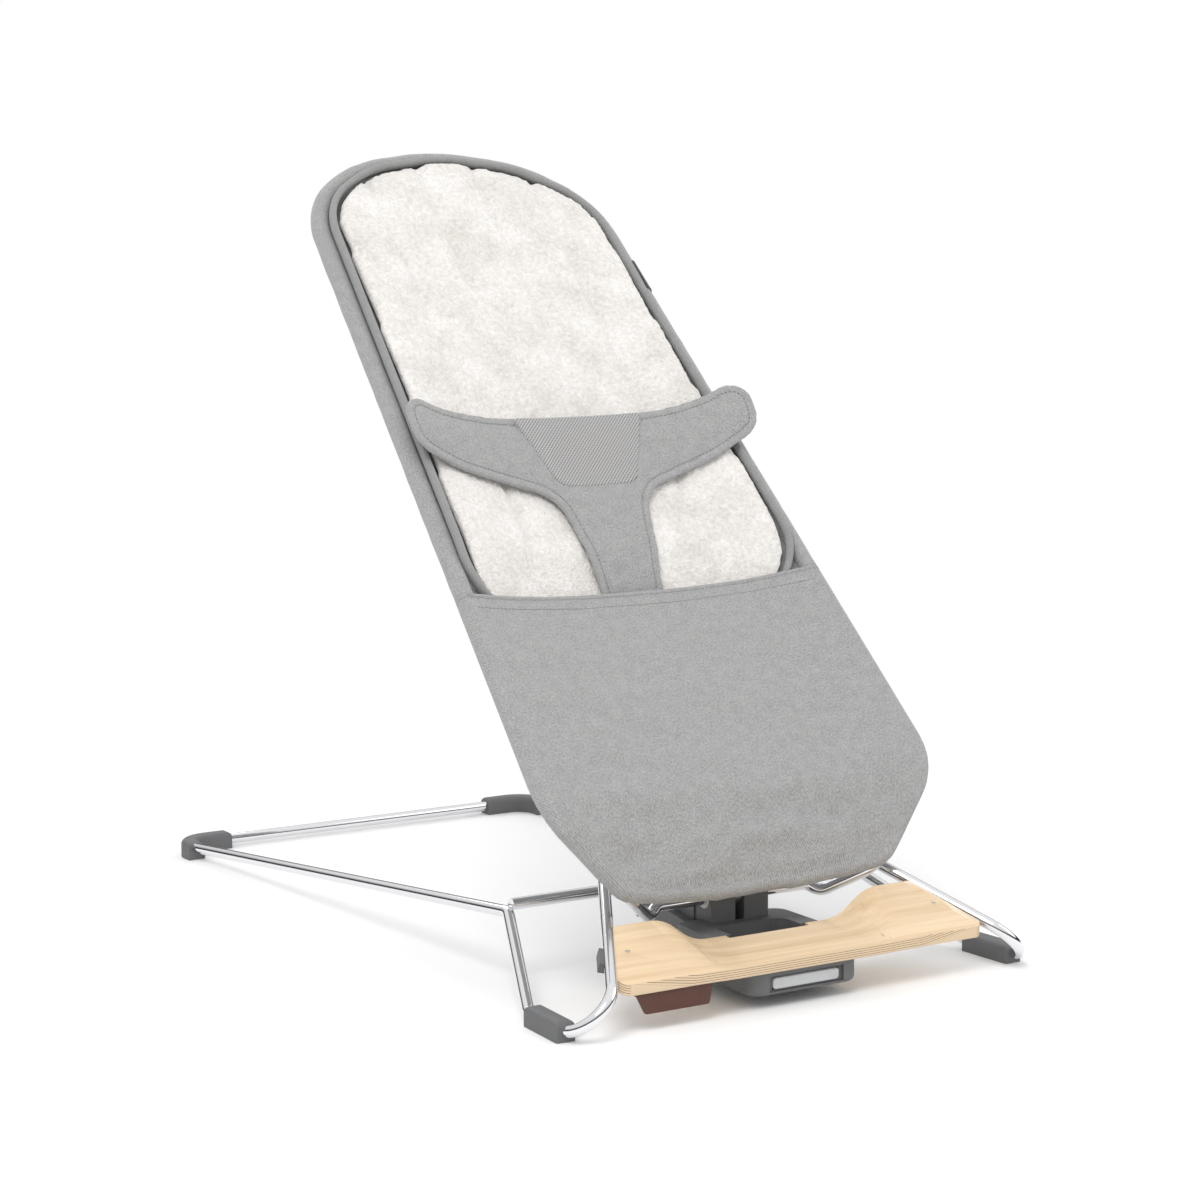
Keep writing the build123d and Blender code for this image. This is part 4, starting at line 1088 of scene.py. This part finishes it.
class BouncerFabric(bpy.types.PropertyGroup):
    cloth: length_property("Cloth", "Thickness of the seat's cloth", 0.0022)
    tunnel: length_property("Tunnel", "Radius of the fabric tunnel round the rods", SLEEVE)
    cloth_light: color_property("Light yarn", "Lighter yarn of the melange", (0.47, 0.47, 0.465))
    cloth_dark: color_property("Dark yarn", "Darker yarn of the melange", (0.20, 0.20, 0.20))


class BouncerPadding(bpy.types.PropertyGroup):
    pad_thick: length_property("Pad", "Thickness of the fleece pad", 0.015)
    pile: length_property("Pile", "Height of the fleece's tufts", 0.0009)
    binding: length_property("Binding", "Radius of the tape round the pad", 0.0033)
    harness_thick: length_property("Harness", "Thickness of the harness", 0.0052)
    fleece: color_property("Fleece", "Colour of the fleece", (0.82, 0.80, 0.775))
    fleece_shadow: color_property("Fleece shadow", "Colour deep between the tufts", (0.60, 0.56, 0.52))


class BouncerStage(bpy.types.PropertyGroup):
    board_edge: length_property("Board edge", "Rounding of the board's edges", 0.0007)
    lens: number_property("Lens", "Focal length in mm", 88.83)
    key: number_property("Key light", "Power of the key light", 42.0, subtype="POWER")
    ambient: number_property("Ambient", "Strength of the white surround", 0.85)


class BOUNCER_OT_materials(bpy.types.Operator):
    """Make the materials and give every CAD node its finish"""

    bl_idname = "bouncer.materials"
    bl_label = "Materials and finishes"

    def execute(self, context):
        make_materials(context.scene.bouncer_fabric, context.scene.bouncer_padding)
        dress_nodes()
        return {"FINISHED"}


class BOUNCER_OT_sling(bpy.types.Operator):
    """Build the fabric back and its tunnel round the rods"""

    bl_idname = "bouncer.sling"
    bl_label = "Fabric back"

    def execute(self, context):
        build_sling(context.scene.bouncer_fabric)
        return {"FINISHED"}


class BOUNCER_OT_pocket(bpy.types.Operator):
    """Build the closed pocket for the legs"""

    bl_idname = "bouncer.pocket"
    bl_label = "Front pocket"

    def execute(self, context):
        build_pocket(context.scene.bouncer_fabric)
        return {"FINISHED"}


class BOUNCER_OT_pad(bpy.types.Operator):
    """Build the fleece pad and the tape round its edge"""

    bl_idname = "bouncer.pad"
    bl_label = "Fleece pad"

    def execute(self, context):
        build_pad(context.scene.bouncer_padding)
        build_binding(context.scene.bouncer_padding)
        return {"FINISHED"}


class BOUNCER_OT_harness(bpy.types.Operator):
    """Build the padded harness, its mesh panel and the top-stitching"""

    bl_idname = "bouncer.harness"
    bl_label = "Harness and stitching"

    def execute(self, context):
        build_harness(context.scene.bouncer_padding)
        build_panel(context.scene.bouncer_padding)
        build_stitching(context.scene.bouncer_padding)
        return {"FINISHED"}


class BOUNCER_OT_board(bpy.types.Operator):
    """Build the plywood board"""

    bl_idname = "bouncer.board"
    bl_label = "Plywood board"

    def execute(self, context):
        build_board(context.scene.bouncer_stage)
        return {"FINISHED"}


class BOUNCER_OT_springs(bpy.types.Operator):
    """Build the return springs of the release button"""

    bl_idname = "bouncer.springs"
    bl_label = "Button springs"

    def execute(self, context):
        build_springs()
        return {"FINISHED"}


class BOUNCER_OT_stage(bpy.types.Operator):
    """Build the floor, the lights and the camera"""

    bl_idname = "bouncer.stage"
    bl_label = "Stage"

    def execute(self, context):
        build_stage(context.scene.bouncer_stage)
        return {"FINISHED"}


OPERATORS = (
    BOUNCER_OT_materials,
    BOUNCER_OT_sling,
    BOUNCER_OT_pocket,
    BOUNCER_OT_pad,
    BOUNCER_OT_harness,
    BOUNCER_OT_board,
    BOUNCER_OT_springs,
    BOUNCER_OT_stage,
)
GROUPS = {"bouncer_fabric": BouncerFabric, "bouncer_padding": BouncerPadding, "bouncer_stage": BouncerStage}


class BOUNCER_PT_panel(bpy.types.Panel):
    """Lists the sizes, colours and build steps"""

    bl_idname = "BOUNCER_PT_panel"
    bl_label = "Bouncer seat"
    bl_space_type = "VIEW_3D"
    bl_region_type = "UI"
    bl_category = "Bouncer"

    def draw(self, context):
        for name, group in GROUPS.items():
            for key in group.__annotations__:
                self.layout.prop(getattr(context.scene, name), key)
        for operator in OPERATORS:
            self.layout.operator(operator.bl_idname)


def register():
    for kind in (*GROUPS.values(), *OPERATORS, BOUNCER_PT_panel):
        bpy.utils.register_class(kind)
    for name, group in GROUPS.items():
        setattr(bpy.types.Scene, name, bpy.props.PointerProperty(type=group))


def unregister():
    for name in GROUPS:
        delattr(bpy.types.Scene, name)
    for kind in reversed((*GROUPS.values(), *OPERATORS, BOUNCER_PT_panel)):
        bpy.utils.unregister_class(kind)


def main():
    register()
    for operator in OPERATORS:
        step = operator.bl_idname.split(".")[1]
        getattr(bpy.ops.bouncer, step)()


if __name__ == "__main__":
    main()
